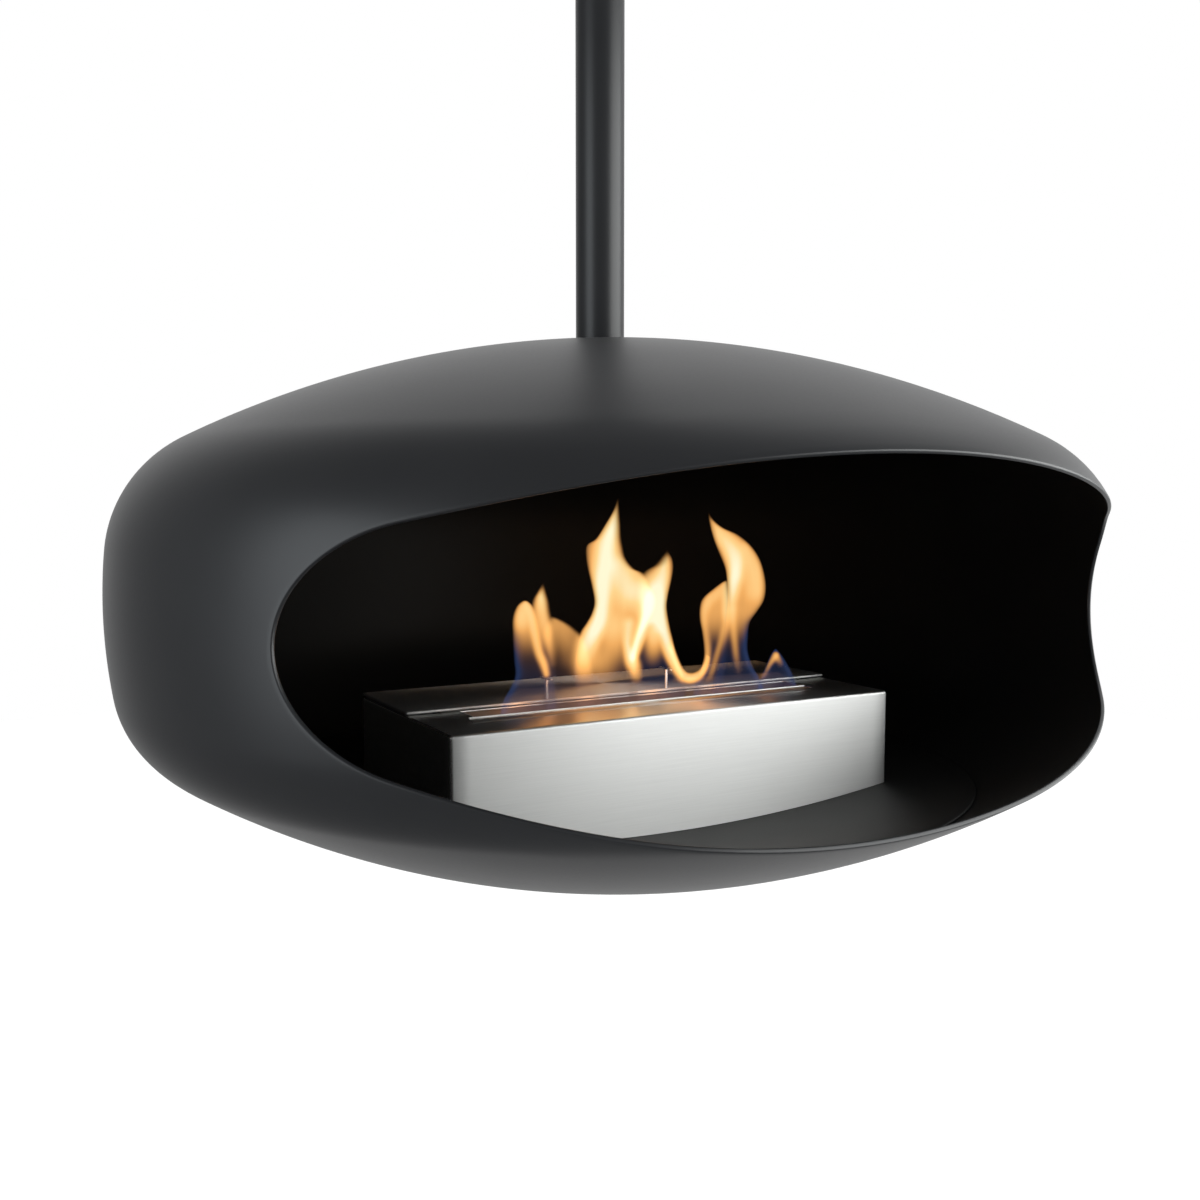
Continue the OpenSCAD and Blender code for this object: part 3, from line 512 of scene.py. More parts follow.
# tube, canopy and hearth are turned profiles
pole = {"radius": 0.025, "bore": 0.023, "top": -0.0715, "bottom": -0.694, "edge": 0.0006, "steps": 4}
canopy = {"radius": 0.090, "top": -0.002, "bottom": -0.124, "edge": 0.014, "wall": 0.0015, "hole": 0.0255,
          "lip": 0.0004, "bendSteps": 14, "lipSteps": 3, "turns": 144}
# the dish stays 0.3 mm inside the solid's edge
hearth = {"curve": 1.750, "centre": 1.530, "radius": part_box("hearth_plate")[1].x - 0.0003,
          "thickness": 0.0025, "edge": 0.0011, "rings": 36, "edgeSteps": 8, "turns": 180}


def hearthHeight(distance, lift=0.0):
    # a shallow dish: a cap of one large sphere
    return hearth["centre"] - np.sqrt((hearth["curve"] - lift) ** 2 - distance ** 2)


def poleProfile(p):
    # a tube's wall, down the outside and up the bore, with a small quarter circle at each of its four edges
    e, steps = p["edge"], p["steps"]
    outside, inside = p["radius"] - e, p["bore"] + e
    top, bottom = p["top"] - e, p["bottom"] + e
    return np.concatenate([
        arcPoints((outside, top), e, 90, 0, steps), arcPoints((outside, bottom), e, 0, -90, steps),
        arcPoints((inside, bottom), e, -90, -180, steps), arcPoints((inside, top), e, 180, 90, steps)])


def canopyProfile(p):
    # a cup's wall, down the side and round the bend to the hole, then back along the inside at one thickness
    lip, steps, edge = p["lip"], p["lipSteps"], p["edge"]
    bend = (p["radius"] - edge, p["bottom"] + edge)
    inner = (p["radius"] - p["wall"] + lip, p["top"] - lip)
    return np.concatenate([
        arcPoints((p["radius"] - lip, p["top"] - lip), lip, 90, 0, steps),
        arcPoints(bend, edge, 0, -90, p["bendSteps"]),
        arcPoints((p["hole"] + lip, p["bottom"] + lip), lip, -90, -180, steps),
        arcPoints((p["hole"] + lip, p["bottom"] + p["wall"] - lip), lip, 180, 90, steps),
        arcPoints(bend, edge - p["wall"], -90, 0, p["bendSteps"]),
        arcPoints(inner, lip, 180, 90, steps)])


def hearthProfile(p):
    # top face from the axis out, a round edge, and the underside back to the axis
    out = np.linspace(0.0, p["radius"] - p["edge"], p["rings"])
    top = np.stack([out, hearthHeight(out)], -1)
    low = np.stack([out[::-1], hearthHeight(out[::-1], -p["thickness"])], -1)
    middle = (top[-1] + low[0]) / 2
    tilt = math.degrees(math.asin(p["radius"] / p["curve"]))
    edge = arcPoints(middle, p["thickness"] / 2, 90 + tilt, -90 + tilt, p["edgeSteps"])
    return np.concatenate([top, edge[1:-1], low])


addPiece("hangingTube", gridMesh("hangingTube", revolve(poleProfile(pole)), closed=True),
         "hanger", ["black_coat"], ["pole"])
canopyGrid = revolve(canopyProfile(canopy), canopy["turns"])
addPiece("ceilingCanopy", gridMesh("ceilingCanopy", canopyGrid, closed=True),
         "ceiling_canopy", ["black_coat"], ["canopy"])
dish = revolve(hearthProfile(hearth), hearth["turns"]) + bodyShift
addPiece("hearthDish", gridMesh("hearthDish", dish), "hanger", ["black_inside"], ["hearth_plate"])
print("tube, canopy and hearth done")

# the burner is a casing folded from one sheet, with a slot, a lip along it and a sliding lid
casing = {"halfWidth": 0.244, "front": -0.150, "back": 0.080, "top": -0.100, "sheet": 0.0015,
          "corner": 0.004, "innerCorner": 0.0008, "bend": 0.003, "floorGap": 0.0005, "edge": 0.0004,
          "slotHalf": 0.190, "slotFront": -0.095, "slotBack": -0.0445, "slotCorner": 0.0008}
# extra rows of points that keep the shading flat beside the bends, as distances from them
casingRows = {"wall": 0.030, "bend": 0.001, "nearCorner": 0.002, "slot": 0.0012, "slotLow": 0.0003,
              "across": (0.0, 0.3, 0.65, 1.0)}
lip = {"left": -0.203, "right": 0.177, "front": -0.106, "back": -0.096, "rise": 0.0024, "thickness": 0.0010,
       "proud": 0.0001, "edge": 0.0004, "hem": 0.0021, "hemThickness": 0.0010, "hemEdge": 0.0003}
lid = {"front": -0.046, "back": 0.080, "low": -0.099, "high": -0.096, "edge": 0.0013}
tab = {"x": (-0.0985, 0.0390), "width": 0.0034, "front": -0.0445, "back": -0.0430, "top": -0.0755,
       "sunk": 0.0005, "headFront": -0.054, "headBack": -0.031, "headThickness": 0.0012, "edge": 0.0005}
guide = {"x": 0.214, "halfWidth": 0.0041, "front": -0.0423, "back": 0.0278, "above": 0.004,
         "below": 0.006, "steps": 10}
slab = {"corner": 1.6, "steps": 11, "rings": (0.0, 0.5)}  # the corner is a multiple of the edge


def casingGrid(c):
    # up the outer wall, over the bend, across the top to the slot, down it, and back under to the inner wall
    def wallRing(inset, radius):
        return roundedRectangle(c["halfWidth"] - inset, c["front"] + inset, c["back"] - inset, radius)

    def foot(ring):
        return atHeight(ring, hearthHeight(np.hypot(ring[:, 0], ring[:, 1])) + c["floorGap"])

    def slotRing(grow):
        return roundedRectangle(c["slotHalf"] + grow, c["slotFront"] - grow, c["slotBack"] + grow,
                                c["slotCorner"] + grow)

    outer, inner = wallRing(0.0, c["corner"]), wallRing(c["sheet"], c["corner"] - c["sheet"])
    top, sheet, bend, edge, row = c["top"], c["sheet"], c["bend"], c["edge"], casingRows
    rows = [foot(outer), atHeight(outer, top - row["wall"]), atHeight(outer, top - bend - row["bend"])]
    for angle in np.radians(np.linspace(0, 90, 8)):
        inset = bend * (1 - math.cos(angle))
        rows.append(atHeight(wallRing(inset, c["corner"] - inset), top - bend + bend * math.sin(angle)))
    near, far = wallRing(bend + row["bend"], row["nearCorner"]), slotRing(row["slot"])
    rows += [atHeight(near * (1 - t) + far * t, top) for t in row["across"]]
    for angle in np.radians(np.linspace(0, 90, 4)):
        level = top - edge * (1 - math.cos(angle))
        rows.append(atHeight(slotRing(edge * (1 - math.sin(angle))), level))
    rows += [atHeight(slotRing(0.0), top - sheet + row["slotLow"]),
             atHeight(slotRing(row["slotLow"]), top - sheet), atHeight(slotRing(row["slot"]), top - sheet)]
    for angle in np.radians(np.linspace(90, 0, 5)):
        inset = sheet + (bend - sheet) * (1 - math.cos(angle))
        corner = max(c["innerCorner"], c["corner"] - inset)
        rows.append(atHeight(wallRing(inset, corner), top - bend + (bend - sheet) * math.sin(angle)))
    rows += [atHeight(inner, top - bend - row["bend"]), foot(inner)]
    return np.stack(rows)


def slabGrid(halfWidth, front, back, low, high, edge):
    # a flat plate with round edges: rings from the middle of the top, over the edge, to the underside
    middle, corner = np.array([0.0, (front + back) / 2]), edge * slab["corner"]
    full = roundedRectangle(halfWidth, front, back, corner)
    rows = [atHeight(middle + (full - middle) * t, high) for t in slab["rings"]]
    for angle in np.radians(np.linspace(90, -90, slab["steps"])):
        inset = edge * (1 - math.cos(angle))
        ring = roundedRectangle(halfWidth - inset, front + inset, back - inset, corner - inset)
        level = high - edge if angle > 0 else low + edge
        rows.append(atHeight(ring, level + edge * math.sin(angle)))
    rows += [atHeight(middle + (full - middle) * t, low) for t in slab["rings"][::-1]]
    return np.stack(rows)


def lipStrip(front, back, low, high, edge):
    # a slab as long as the lip
    middle = (lip["left"] + lip["right"]) / 2
    return slabGrid((lip["right"] - lip["left"]) / 2, front, back, low, high, edge) + [middle, 0.0, 0.0]


def cutSlots(piece, g, level):
    # two long holes with round ends, for the lid's guide studs
    for side in (-1, 1):
        x, half, steps = side * g["x"], g["halfWidth"], g["steps"]
        ring = np.concatenate([arcPoints((x, g["back"] - half), half, 0, 180, steps),
                               arcPoints((x, g["front"] + half), half, 180, 360, steps)])
        middle = np.broadcast_to(ring.mean(0), ring.shape)
        above, below = level + g["above"], level - g["below"]
        rows = np.stack([atHeight(middle, above), atHeight(ring, above),
                         atHeight(ring, below), atHeight(middle, below)]) + bodyShift
        tool = bpy.data.objects.new("slotTool", gridMesh("slotTool", rows))
        scene.collection.objects.link(tool)
        cut = piece.modifiers.new("slot", "BOOLEAN")
        cut.object, cut.operation, cut.solver = tool, "DIFFERENCE", "EXACT"
        bpy.context.view_layer.update()
        seen = piece.evaluated_get(bpy.context.evaluated_depsgraph_get())
        finished = bpy.data.meshes.new_from_object(seen)
        piece.modifiers.clear()
        piece.data = finished
        bpy.data.objects.remove(tool)


burnerCasing = addPiece("burnerCasing", gridMesh("burnerCasing", casingGrid(casing) + bodyShift, closed=True),
                        "burner", ["stainless"], ["burner_casing"])
cutSlots(burnerCasing, guide, casing["top"])

# the lip is a strip of the top, bent up along the front of the slot, with an upright hem
ramp = lipStrip(lip["front"], lip["back"], casing["top"] - lip["thickness"], casing["top"] + lip["proud"],
                lip["edge"])
ramp[..., 2] += lip["rise"] * (ramp[..., 1] - lip["front"]) / (lip["back"] - lip["front"])
hemLow = casing["top"] + lip["rise"] - lip["thickness"]
halfHem = lip["hemThickness"] / 2
hem = lipStrip(lip["back"] - halfHem, lip["back"] + halfHem, hemLow, hemLow + lip["hem"], lip["hemEdge"])
lipMesh = joined("slotLip", [gridMesh("slotLip", part + bodyShift) for part in (ramp, hem)])
slotLip = addPiece("slotLip", lipMesh, "burner", ["stainless"])

lidGrid = slabGrid(casing["halfWidth"], lid["front"], lid["back"], lid["low"], lid["high"], lid["edge"])
slidingLid = addPiece("slidingLid", gridMesh("slidingLid", lidGrid + bodyShift),
                      "lid", ["stainless"], ["lid_plate"])
for piece in (slotLip, slidingLid):
    piece.data.materials[0] = rubbedStainless.material

halfTab = tab["width"] / 2
stem = slabGrid(halfTab, tab["front"], tab["back"], lid["high"] - tab["sunk"], tab["top"], tab["edge"])
head = slabGrid(halfTab, tab["headFront"], tab["headBack"], tab["top"] - tab["headThickness"], tab["top"],
                tab["edge"])
for name, x in zip(("leftPullTab", "rightPullTab"), tab["x"]):
    parts = [gridMesh(name, part + bodyShift + [x, 0.0, 0.0]) for part in (stem, head)]
    addPiece(name, joined(name, parts), "lid", ["stainless"], ["lid_tabs"])
print("burner done")

# flames are thin closed tongues in the slot, each between two edge lines on its own plane y. Edges are
# left x, left z, right x, right z in millimetres, from the tip down. Their places were marked in the
# photograph, moved onto the plane along the camera's lines of sight, and then adjusted
flames = {
    "leftLobe": {"y": -82, "depth": 9, "cool": 0.7, "rim": (0.8, 0), "edges": [
        (-142, 5, -137, 5), (-149, -1, -130, -2), (-153, -12, -126, -13), (-153, -28, -122, -28),
        (-152, -50, -116, -50), (-151, -64, -112, -64), (-156, -75, -109, -76), (-164, -88, -107, -88),
        (-168, -104, -106, -104)]},
    "leftTip": {"y": -73, "depth": 7, "soft": (6, 8), "cool": 0.6, "edges": [
        (-117, 22, -116, 22), (-123, 12, -113, 12), (-128, 4, -110, 3), (-129, -8, -108, -8),
        (-127, -24, -104, -24), (-124, -44, -103, -44), (-120, -66, -101, -66),
        (-116, -104, -98, -104)]},
    "leftShoulder": {"y": -66, "depth": 8, "soft": (12, 9), "share": 0.8, "cool": 0.4, "edges": [
        (-106, -12, -103, -12), (-112, -19, -90, -18), (-116, -27, -78, -26), (-118, -38, -66, -38),
        (-117, -60, -58, -60), (-115, -82, -54, -82), (-113, -104, -52, -104)]},
    "middleTall": {"y": -77, "depth": 12, "soft": (4, 8), "cool": 0.5, "edges": [
        (-38, 100, -37, 100), (-43, 87, -36, 86), (-52, 73, -35, 72), (-62, 60, -34, 61),
        (-72, 54, -32, 52), (-73, 43, -29, 41), (-71, 31, -20, 31), (-67, 16, -6, 24), (-64, 0, 6, 4),
        (-67, -11, 6, -8), (-73, -20, 2, -18), (-80, -29, -4, -30), (-84, -42, -10, -42),
        (-88, -62, -12, -62), (-86, -82, -14, -82), (-84, -104, -16, -104)]},
    "middleShort": {"y": -70, "depth": 11, "soft": (16, 4), "edges": [
        (22, 48, 23, 48), (16, 41, 28, 40), (8, 33, 30, 33), (-4, 27, 30, 26), (-12, 18, 28, 16),
        (-14, 2, 24, 1), (-14, -13, 23, -11), (-18, -30, 27, -30), (-22, -43, 31, -43),
        (-25, -58, 35, -58), (-24, -70, 41, -71), (-22, -85, 46, -85), (-20, -104, 47, -104)]},
    "bridge": {"y": -78, "depth": 5, "edges": [
        (24, -40, 14, -44), (29, -53, 20, -59), (35, -66, 25, -73), (41, -73, 34, -86),
        (48, -75, 48, -92), (56, -73, 63, -86), (62, -66, 71, -75), (64, -58, 72, -64)]},
    "rightTall": {"y": -80, "depth": 11, "rim": (0, 1), "edges": [
        (65, 87, 66, 87), (66, 78, 71, 79), (69, 68, 83, 70), (73, 56, 101, 63), (78, 45, 116, 53),
        (83, 35, 127, 41), (87, 25, 134, 27), (89, 10, 138, 9), (89, -6, 136, -6), (88, -17, 128, -17),
        (86, -29, 118, -29), (84, -43, 116, -43), (81, -60, 116, -58), (76, -76, 122, -74),
        (71, -88, 131, -87), (68, -104, 140, -104)]},
    "rightBump": {"y": -69, "depth": 8, "soft": (4, 8), "rim": (0.4, 0), "edges": [
        (94, 15, 98, 15), (80, 7, 100, 7), (67, -2, 102, -4), (63, -11, 103, -12), (63, -24, 103, -24),
        (66, -38, 102, -38), (68, -52, 101, -52), (68, -64, 99, -66), (63, -78, 97, -80),
        (57, -90, 95, -92), (54, -104, 94, -104)]},
    "rightSmall": {"y": -75, "depth": 8, "rim": (0.7, 0.9), "edges": [
        (155, -58, 156, -58), (149, -66, 164, -66), (144, -75, 171, -75), (138, -85, 178, -86),
        (133, -95, 183, -96), (130, -104, 186, -104)]},
    "baseVeil": {"y": -72, "depth": 14, "share": 0.7, "cool": 0.25, "edges": [
        (-140, -78, 160, -84), (-152, -84, 170, -89), (-158, -92, 178, -96), (-162, -104, 182, -104)]},
}
# bright lines through the tongues, all on the plane y = -76: x, z, half width and heat along each. Their
# places were found as the edges' were; half width and heat were set against the photograph
cores = [
    [(-140, -2, 8, 0.62), (-141, -12, 9, 0.62), (-142, -22, 8, 0.36)],
    [(-133, 0, 5, 0.65), (-130, -10, 4, 0.68), (-127, -26, 4, 0.6), (-123, -44, 3.5, 0.54),
     (-118, -56, 3.5, 0.5), (-115, -66, 3, 0.42)],
    [(-118, 16, 3, 0.55), (-120, 7, 5, 0.78), (-118, -10, 7, 0.54), (-114, -27, 6, 0.46),
     (-110, -42, 5, 0.36), (-108, -56, 4, 0.24)],
    [(-100, -22, 8, 0.36), (-94, -36, 10, 0.36), (-92, -51, 10, 0.28)],
    [(-38, 94, 3, 0.7), (-43, 74, 7, 0.92), (-49, 55, 9, 0.98), (-52, 35, 10, 1.0), (-55, 18, 10, 1.05),
     (-56, 0, 9, 1.05), (-58, -18, 8, 1.05), (-66, -32, 8, 0.98), (-71, -40, 9, 0.88),
     (-74, -49, 9, 0.74), (-75, -58, 10, 0.54), (-75, -67, 10, 0.34)],
    [(-39, 32, 12, 0.84), (-26, 11, 16, 0.84), (-13, 8, 14, 0.84)],
    [(-42, -26, 15, 0.6), (-43, -40, 16, 0.48), (-48, -54, 15, 0.35)],
    [(-60, -56, 14, 0.42), (-56, -68, 14, 0.28)],
    [(-25, -24, 6, 0.8), (-26, -36, 5, 0.82), (-26, -45, 4, 0.84), (-22, -58, 5, 0.86),
     (-18, -67, 5.5, 0.62), (-15, -77, 5, 0.36)],
    [(18, 39, 4, 0.7), (13, 21, 8, 0.88), (7, 4, 11, 1.08), (3, -8, 11, 1.15), (-6, -22, 6, 1.05),
     (-12, -35, 5, 1.0), (-17, -47, 4.5, 0.96), (-20, -56, 4, 0.92)],
    [(6, -6, 11, 1.12), (12, -21, 8, 1.08), (18, -36, 6, 1.0), (23, -50, 5.5, 0.94), (29, -63, 5, 0.86),
     (38, -77, 4.5, 0.78), (46, -81, 4.5, 0.74), (54, -80, 4.5, 0.72), (61, -75, 4.5, 0.68),
     (66, -65, 4.5, 0.62), (67, -54, 5, 0.54), (65, -41, 5.5, 0.54), (63, -28, 6, 0.56),
     (63, -15, 7, 0.58), (70, -4, 7, 0.56), (82, 4, 7, 0.5)],
    [(5, -32, 8, 0.72), (5, -44, 9, 0.52), (4, -56, 9, 0.32)],
    [(70, 80, 3, 0.45), (79, 64, 8, 0.66), (94, 49, 9, 0.82), (101, 36, 9, 0.94), (101, 22, 8.5, 1.0),
     (98, 12, 8, 0.98), (96, 0, 7, 0.88), (94, -14, 6, 0.7), (92, -27, 5, 0.5), (89, -37, 4.5, 0.43),
     (85, -50, 4, 0.38), (80, -63, 4, 0.36), (75, -77, 4, 0.34), (69, -88, 4, 0.22)],
    [(97, -16, 6, 0.62), (99, -32, 5, 0.47), (101, -48, 4, 0.4), (103, -63, 4, 0.34),
     (106, -78, 4, 0.22)],
    [(114, 44, 10, 0.62), (124, 24, 13, 0.62), (126, 4, 12, 0.58)],
    [(155, -66, 4, 0.52), (148, -74, 3, 0.46), (143, -81, 3, 0.4), (137, -88, 3, 0.3)],
    [(157, -67, 4, 0.48), (163, -74, 4, 0.3)],
]
# heat and blue follow the height, the bright lines and the distance from the edges. Lengths are in
# millimetres, but for the depth of the feet below the shell's middle, in metres
fireLook = {"down": 90, "across": 96, "flat": 0.4, "taper": 0.6, "swell": 0.45, "swellTo": 1.2,
            "lean": 5.0, "sway": 2.4, "plane": -76.0, "sight": (0.559, 0.17),
            "warmAbove": -14.0, "coolBelow": -74.0, "warmth": 0.47, "blend": 4.0, "coreWidth": 1.75,
            "coreSteps": 24, "edgeSoft": 4.0, "tipSoft": 5.0, "tipStart": 0.6, "edgeCool": 0.36,
            "coolReach": 4.5, "thin": 0.11, "thick": 0.84, "veilHeat": (0.12, 0.62),
            "rimWidth": 6.5, "rimVeil": 0.36, "rimFrom": -14.0, "rimFull": -46.0, "rimHeat": (0.25, 0.55),
            "blueHeat": (0.06, 0.42), "squashTo": 0.02, "footDepth": 0.105}


def smoothstep(low, high, value):
    share = np.clip((value - low) / (high - low), 0.0, 1.0)
    return share * share * (3 - 2 * share)


def throughPoints(points, count):
    # an even curve through control points: Catmull-Rom, each span a cubic of its four nearest points
    points = np.asarray(points, float)
    padded = np.concatenate([2 * points[:1] - points[1:2], points, 2 * points[-1:] - points[-2:-1]])
    place = np.linspace(0, len(points) - 1, count)
    span = np.minimum(place.astype(int), len(points) - 2)
    t = (place - span)[:, None]
    a, b, c, d = (padded[span + k] for k in range(4))
    bend, twist = 2 * a - 5 * b + 4 * c - d, 3 * b - a - 3 * c + d
    return 0.5 * (2 * b + (c - a) * t + bend * t ** 2 + twist * t ** 3)


def heatAt(x, y, z):
    # a soft maximum of all cores: each fades with the square of the distance, measured in its half width.
    # every tongue is seen along the photograph's line of sight, so crossing tongues share their bright lines
    back = y - fireLook["plane"]
    x, z = x - fireLook["sight"][0] * back, z + fireLook["sight"][1] * back
    blend = fireLook["blend"]
    lines = 0.0
    for core in cores:
        line = throughPoints(core, fireLook["coreSteps"] * (len(core) - 1))
        away = (x[..., None] - line[:, 0]) ** 2 + (z[..., None] - line[:, 1]) ** 2
        fade = np.exp(-away / (fireLook["coreWidth"] * line[:, 2]) ** 2)
        lines = lines + np.max(line[:, 3] * fade, -1) ** blend
    warmth = fireLook["warmth"] * smoothstep(fireLook["coolBelow"], fireLook["warmAbove"], z)
    return (lines + warmth ** blend) ** (1 / blend), lines ** (1 / blend)


def matchPoints(found, known):
    # the place in known of each found point: both are sorted by one whole number from their micrometres
    micrometres, xStep, yStep = 1e6, 4000003, 2003

    def order(points):
        key = np.round(points.astype(float) * micrometres).astype(np.int64)
        return key[:, 0] * xStep + key[:, 1] * yStep + key[:, 2]
    knownKeys, foundKeys = order(known), order(found)
    rank = np.argsort(knownKeys, kind="stable")
    return rank[np.clip(np.searchsorted(knownKeys[rank], foundKeys), 0, len(rank) - 1)]


def capped(values):
    # one more row at either end, for the tip's point and the foot's point
    return np.concatenate([values[:1], values, values[-1:]])


def tonguePoints(flame):
    # s runs across from the left edge to the right and round the back; the thickness is a flat ellipse
    look = fireLook
    edge = throughPoints(flame["edges"], look["down"])
    around = np.linspace(0.0, 2 * math.pi, look["across"], endpoint=False)
    s = -np.cos(around)
    left, right = edge[:, None, :2], edge[:, None, 2:]
    flat = left + (right - left) * ((s + 1) / 2)[None, :, None]
    half = np.linalg.norm(edge[:, 2:] - edge[:, :2], axis=1)[:, None] / 2
    down = np.linspace(0.0, 1.0, look["down"])[:, None]
    swell = 1 - look["swell"] + look["swell"] * np.sin(math.pi * np.clip(down * look["swellTo"], 0, 1))
    depth = np.minimum(flame["depth"] * look["flat"], half * look["taper"]) * swell
    lean = look["lean"] * np.sin(look["sway"] * down + flame["y"]) * (1 - down)
    y = flame["y"] + lean + depth * np.sin(around)[None]
    points = np.stack([flat[..., 0] + look["sight"][0] * lean, y, flat[..., 1] - look["sight"][1] * lean], -1)
    top, foot = (row.mean(1, keepdims=True).repeat(len(around), 1) for row in (points[:1], points[-1:]))
    points = np.concatenate([top, points, foot])
    tip = down * np.linalg.norm(edge[0, :2] - edge[-1, :2])
    return points, half * (1 + s[None]), half * (1 - s[None]), tip


def tongueLook(flame, points, fromLeft, fromRight, tip):
    # how hot, how blue and how dense the tongue is at each point
    look = fireLook
    softLeft, softRight = flame.get("soft", (look["edgeSoft"], look["edgeSoft"]))
    soft = smoothstep(0, softLeft, fromLeft) * smoothstep(0, softRight, fromRight)
    soft = capped(soft * smoothstep(0.0, look["tipSoft"], tip + look["tipStart"]))
    soft[0] = 0.0
    sides = zip(flame.get("rim", (0, 0)), (fromLeft, fromRight))
    rim = capped(sum(share * np.exp(-(away / look["rimWidth"]) ** 2) for share, away in sides))
    heat, lines = heatAt(points[..., 0], points[..., 1], points[..., 2])
    inwards = capped(np.minimum(np.minimum(fromLeft, fromRight), tip))
    heat = heat * (1 - look["edgeCool"] * np.exp(-(inwards / look["coolReach"]) ** 2))
    # blue low down where no bright line runs, and along the edges of the lower half
    calm = smoothstep(look["warmAbove"], look["coolBelow"], points[..., 2])
    edged = rim * smoothstep(look["rimFrom"], look["rimFull"], points[..., 2])
    edged = edged * (1 - smoothstep(*look["rimHeat"], lines))
    blue = np.clip(flame.get("cool", 1.0) * calm * (1 - smoothstep(*look["blueHeat"], heat)) + edged, 0, 1)
    dense = look["thick"] * (1 - edged) * smoothstep(*look["veilHeat"], heat)
    veil = soft * (look["thin"] + look["rimVeil"] * edged + dense) * flame.get("share", 1.0)
    return heat, blue, veil


def addFlame(name, flame):
    points, *distances = tonguePoints(flame)
    piece = addPiece(name, gridMesh(name, points / 1000 + bodyShift), "burner", [])
    mesh = piece.data
    mesh.materials.append(fireFinish.material)
    where = np.zeros(len(mesh.vertices) * 3, np.float32)
    mesh.vertices.foreach_get("co", where)
    known = (points.reshape(-1, 3) / 1000 + bodyShift).astype(np.float32)
    nearest = matchPoints(where.reshape(-1, 3), known)
    for label, values in zip(("glow", "blue", "veil"), tongueLook(flame, points, *distances)):
        numbers = mesh.attributes.new(label, "FLOAT", "POINT").data
        numbers.foreach_set("value", values.reshape(-1)[nearest].astype(np.float32))
    piece.visible_shadow = False
    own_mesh(piece)


for name, flame in flames.items():
    addFlame(name, flame)
print("flames:", len(flames))

studio = {"floorDepth": -2.35, "floorRadius": 8.0, "floorRings": 24, "floorTurns": 96, "floorGlow": 0.12,
          "back": (0.62, 0.76, 0.12), "darkSide": 0.195, "brightSide": 0.85, "fadeFrom": 0.25, "fadeTo": 0.95}
# height is above the shell's middle, and the size is in metres
panels = {
    "leftPanel": {"azimuth": -80.0, "distance": 2.1, "height": 0.25, "size": (1.2, 1.9), "radiance": 2.3,
                  "tint": (0.90, 0.96, 1.0)},
    "rightPanel": {"azimuth": 52.0, "distance": 2.2, "height": 0.15, "size": (2.6, 2.4), "radiance": 4.2,
                   "tint": (0.98, 1.0, 0.99)},
}
# the glow inside the slot, in millimetres from the shell's middle: a closed lid shuts it in
lamps = {"x": (-120, -40, 40, 120), "y": -76, "z": -108, "radius": 0.005, "radiance": 22.0,
         "tint": (1.0, 0.50, 0.22)}


def addFloor():
    # a flat disc of rings, with its faces turned up
    ring = np.linspace(0.0, studio["floorRadius"], studio["floorRings"])
    angle = np.linspace(0, 2 * math.pi, studio["floorTurns"], endpoint=False)
    level = np.full((len(ring), len(angle)), studio["floorDepth"])
    grid = np.stack([ring[:, None] * np.cos(angle), ring[:, None] * np.sin(angle), level], -1)
    mesh = gridMesh("floor", grid)
    shape = bmesh.new()
    shape.from_mesh(mesh)
    bmesh.ops.reverse_faces(shape, faces=[f for f in shape.faces if f.normal.z < 0])
    shape.to_mesh(mesh)
    shape.free()
    floor = bpy.data.objects.new("floor", mesh)
    scene.collection.objects.link(floor)
    finish = Finish("paleFloor", {"Roughness": 0.8, "Specular IOR Level": 0.1,
                                  "Emission Color": (1, 1, 1, 1), "Emission Strength": studio["floorGlow"]})
    clouds = finish.noise(3.0, 4.0)
    finish.feed({"Base Color": finish.blend(clouds, (0.92, 0.92, 0.92), (0.95, 0.95, 0.95))})
    mesh.materials.append(finish.material)
    floor.visible_glossy = False


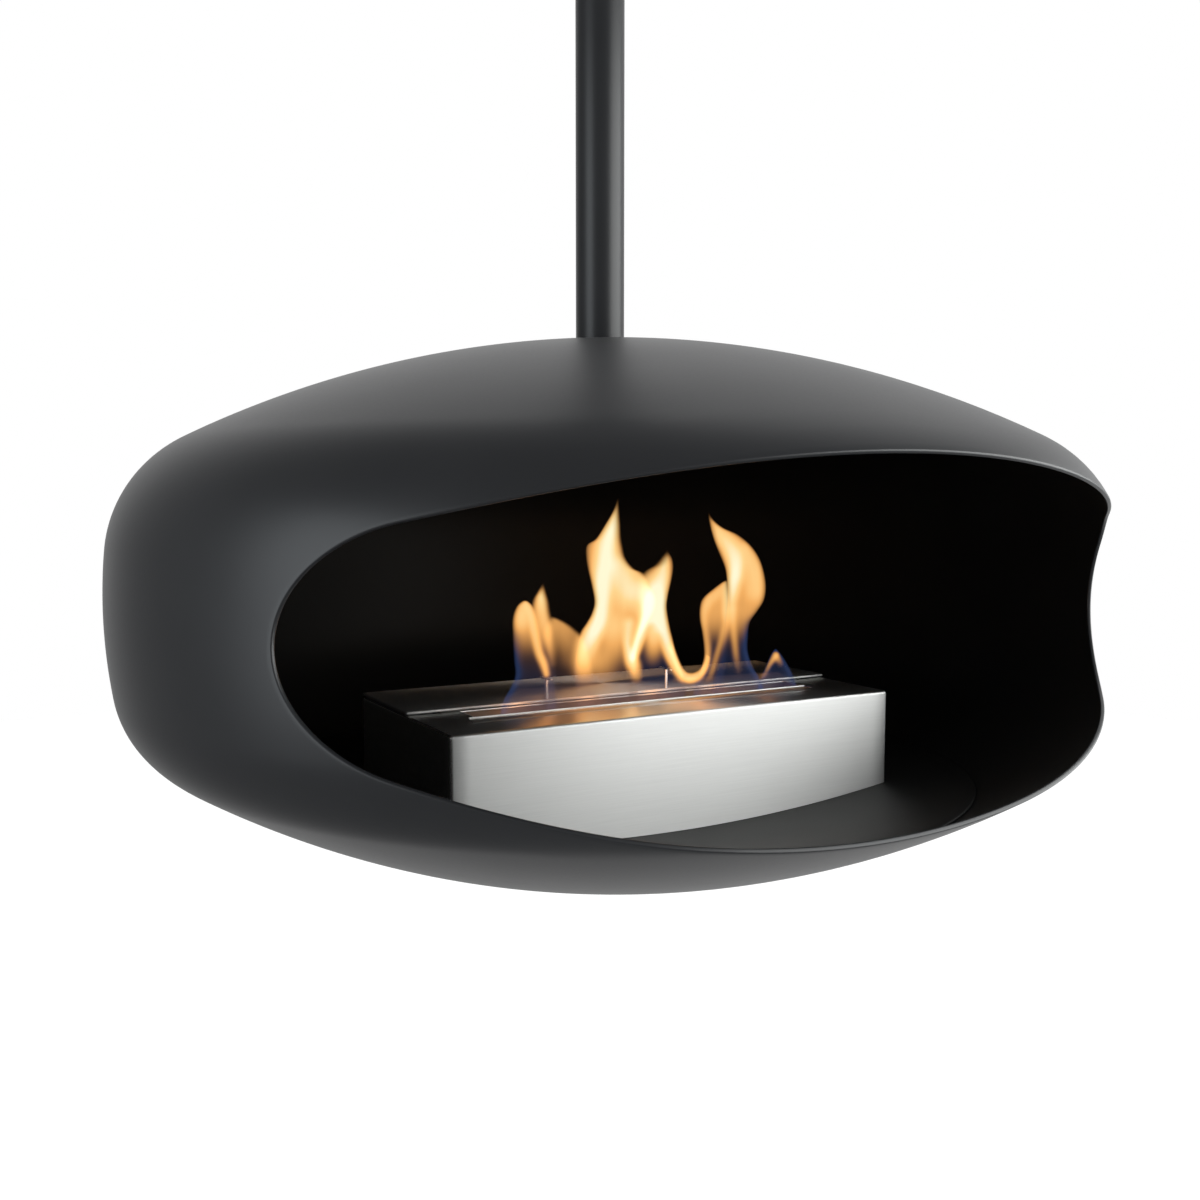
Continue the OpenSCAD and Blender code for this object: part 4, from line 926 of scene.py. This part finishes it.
def addPanel(name, panel):
    data = bpy.data.lights.new(name, "AREA")
    data.shape = "RECTANGLE"
    data.size, data.size_y = panel["size"]
    data.energy = panel["radiance"] * math.pi * data.size * data.size_y
    data.color = panel["tint"]
    light = bpy.data.objects.new(name, data)
    scene.collection.objects.link(light)
    middle = Vector(bodyShift)
    light.location = middle + outward(panel["azimuth"]) * panel["distance"] + Vector((0, 0, panel["height"]))
    light.rotation_euler = (middle - light.location).to_track_quat("-Z", "Y").to_euler()
    light.visible_camera = False


def addLamps():
    for x in lamps["x"]:
        data = bpy.data.lights.new("slotLamp", "POINT")
        data.shadow_soft_size = lamps["radius"]
        data.energy = lamps["radiance"] * 4 * math.pi ** 2 * lamps["radius"] ** 2
        data.color = lamps["tint"]
        light = bpy.data.objects.new("slotLamp", data)
        scene.collection.objects.link(light)
        light.location = Vector((x, lamps["y"], lamps["z"])) / 1000 + Vector(bodyShift)
        light.visible_camera = False
        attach(light, "burner")


def addWorld():
    # white to the eye and to matt faces; glossy faces see a dark studio in front and a pale one behind
    world = bpy.data.worlds.new("studioWorld")
    scene.world = world
    world.use_nodes = True
    tree = world.node_tree
    coords = tree.nodes.new("ShaderNodeTexCoord")
    dot = tree.nodes.new("ShaderNodeVectorMath")
    dot.operation = "DOT_PRODUCT"
    dot.inputs[1].default_value = studio["back"]
    tree.links.new(coords.outputs["Generated"], dot.inputs[0])
    fade = tree.nodes.new("ShaderNodeMapRange")
    fade.interpolation_type = "SMOOTHSTEP"
    for socket, value in (("From Min", "fadeFrom"), ("From Max", "fadeTo"),
                          ("To Min", "darkSide"), ("To Max", "brightSide")):
        fade.inputs[socket].default_value = studio[value]
    tree.links.new(dot.outputs["Value"], fade.inputs["Value"])
    path = tree.nodes.new("ShaderNodeLightPath")
    glossy = Wire(tree, path.outputs["Is Glossy Ray"])
    strength = (1 - glossy) + glossy * Wire(tree, fade.outputs["Result"])
    plain = tree.nodes["Background"]
    plain.inputs["Color"].default_value = (1, 1, 1, 1)
    plug(tree, plain.inputs["Strength"], strength)


addFloor()
for name, panel in panels.items():
    addPanel(name, panel)
addLamps()
addWorld()
scene.view_settings.view_transform = "Standard"
print("studio done")
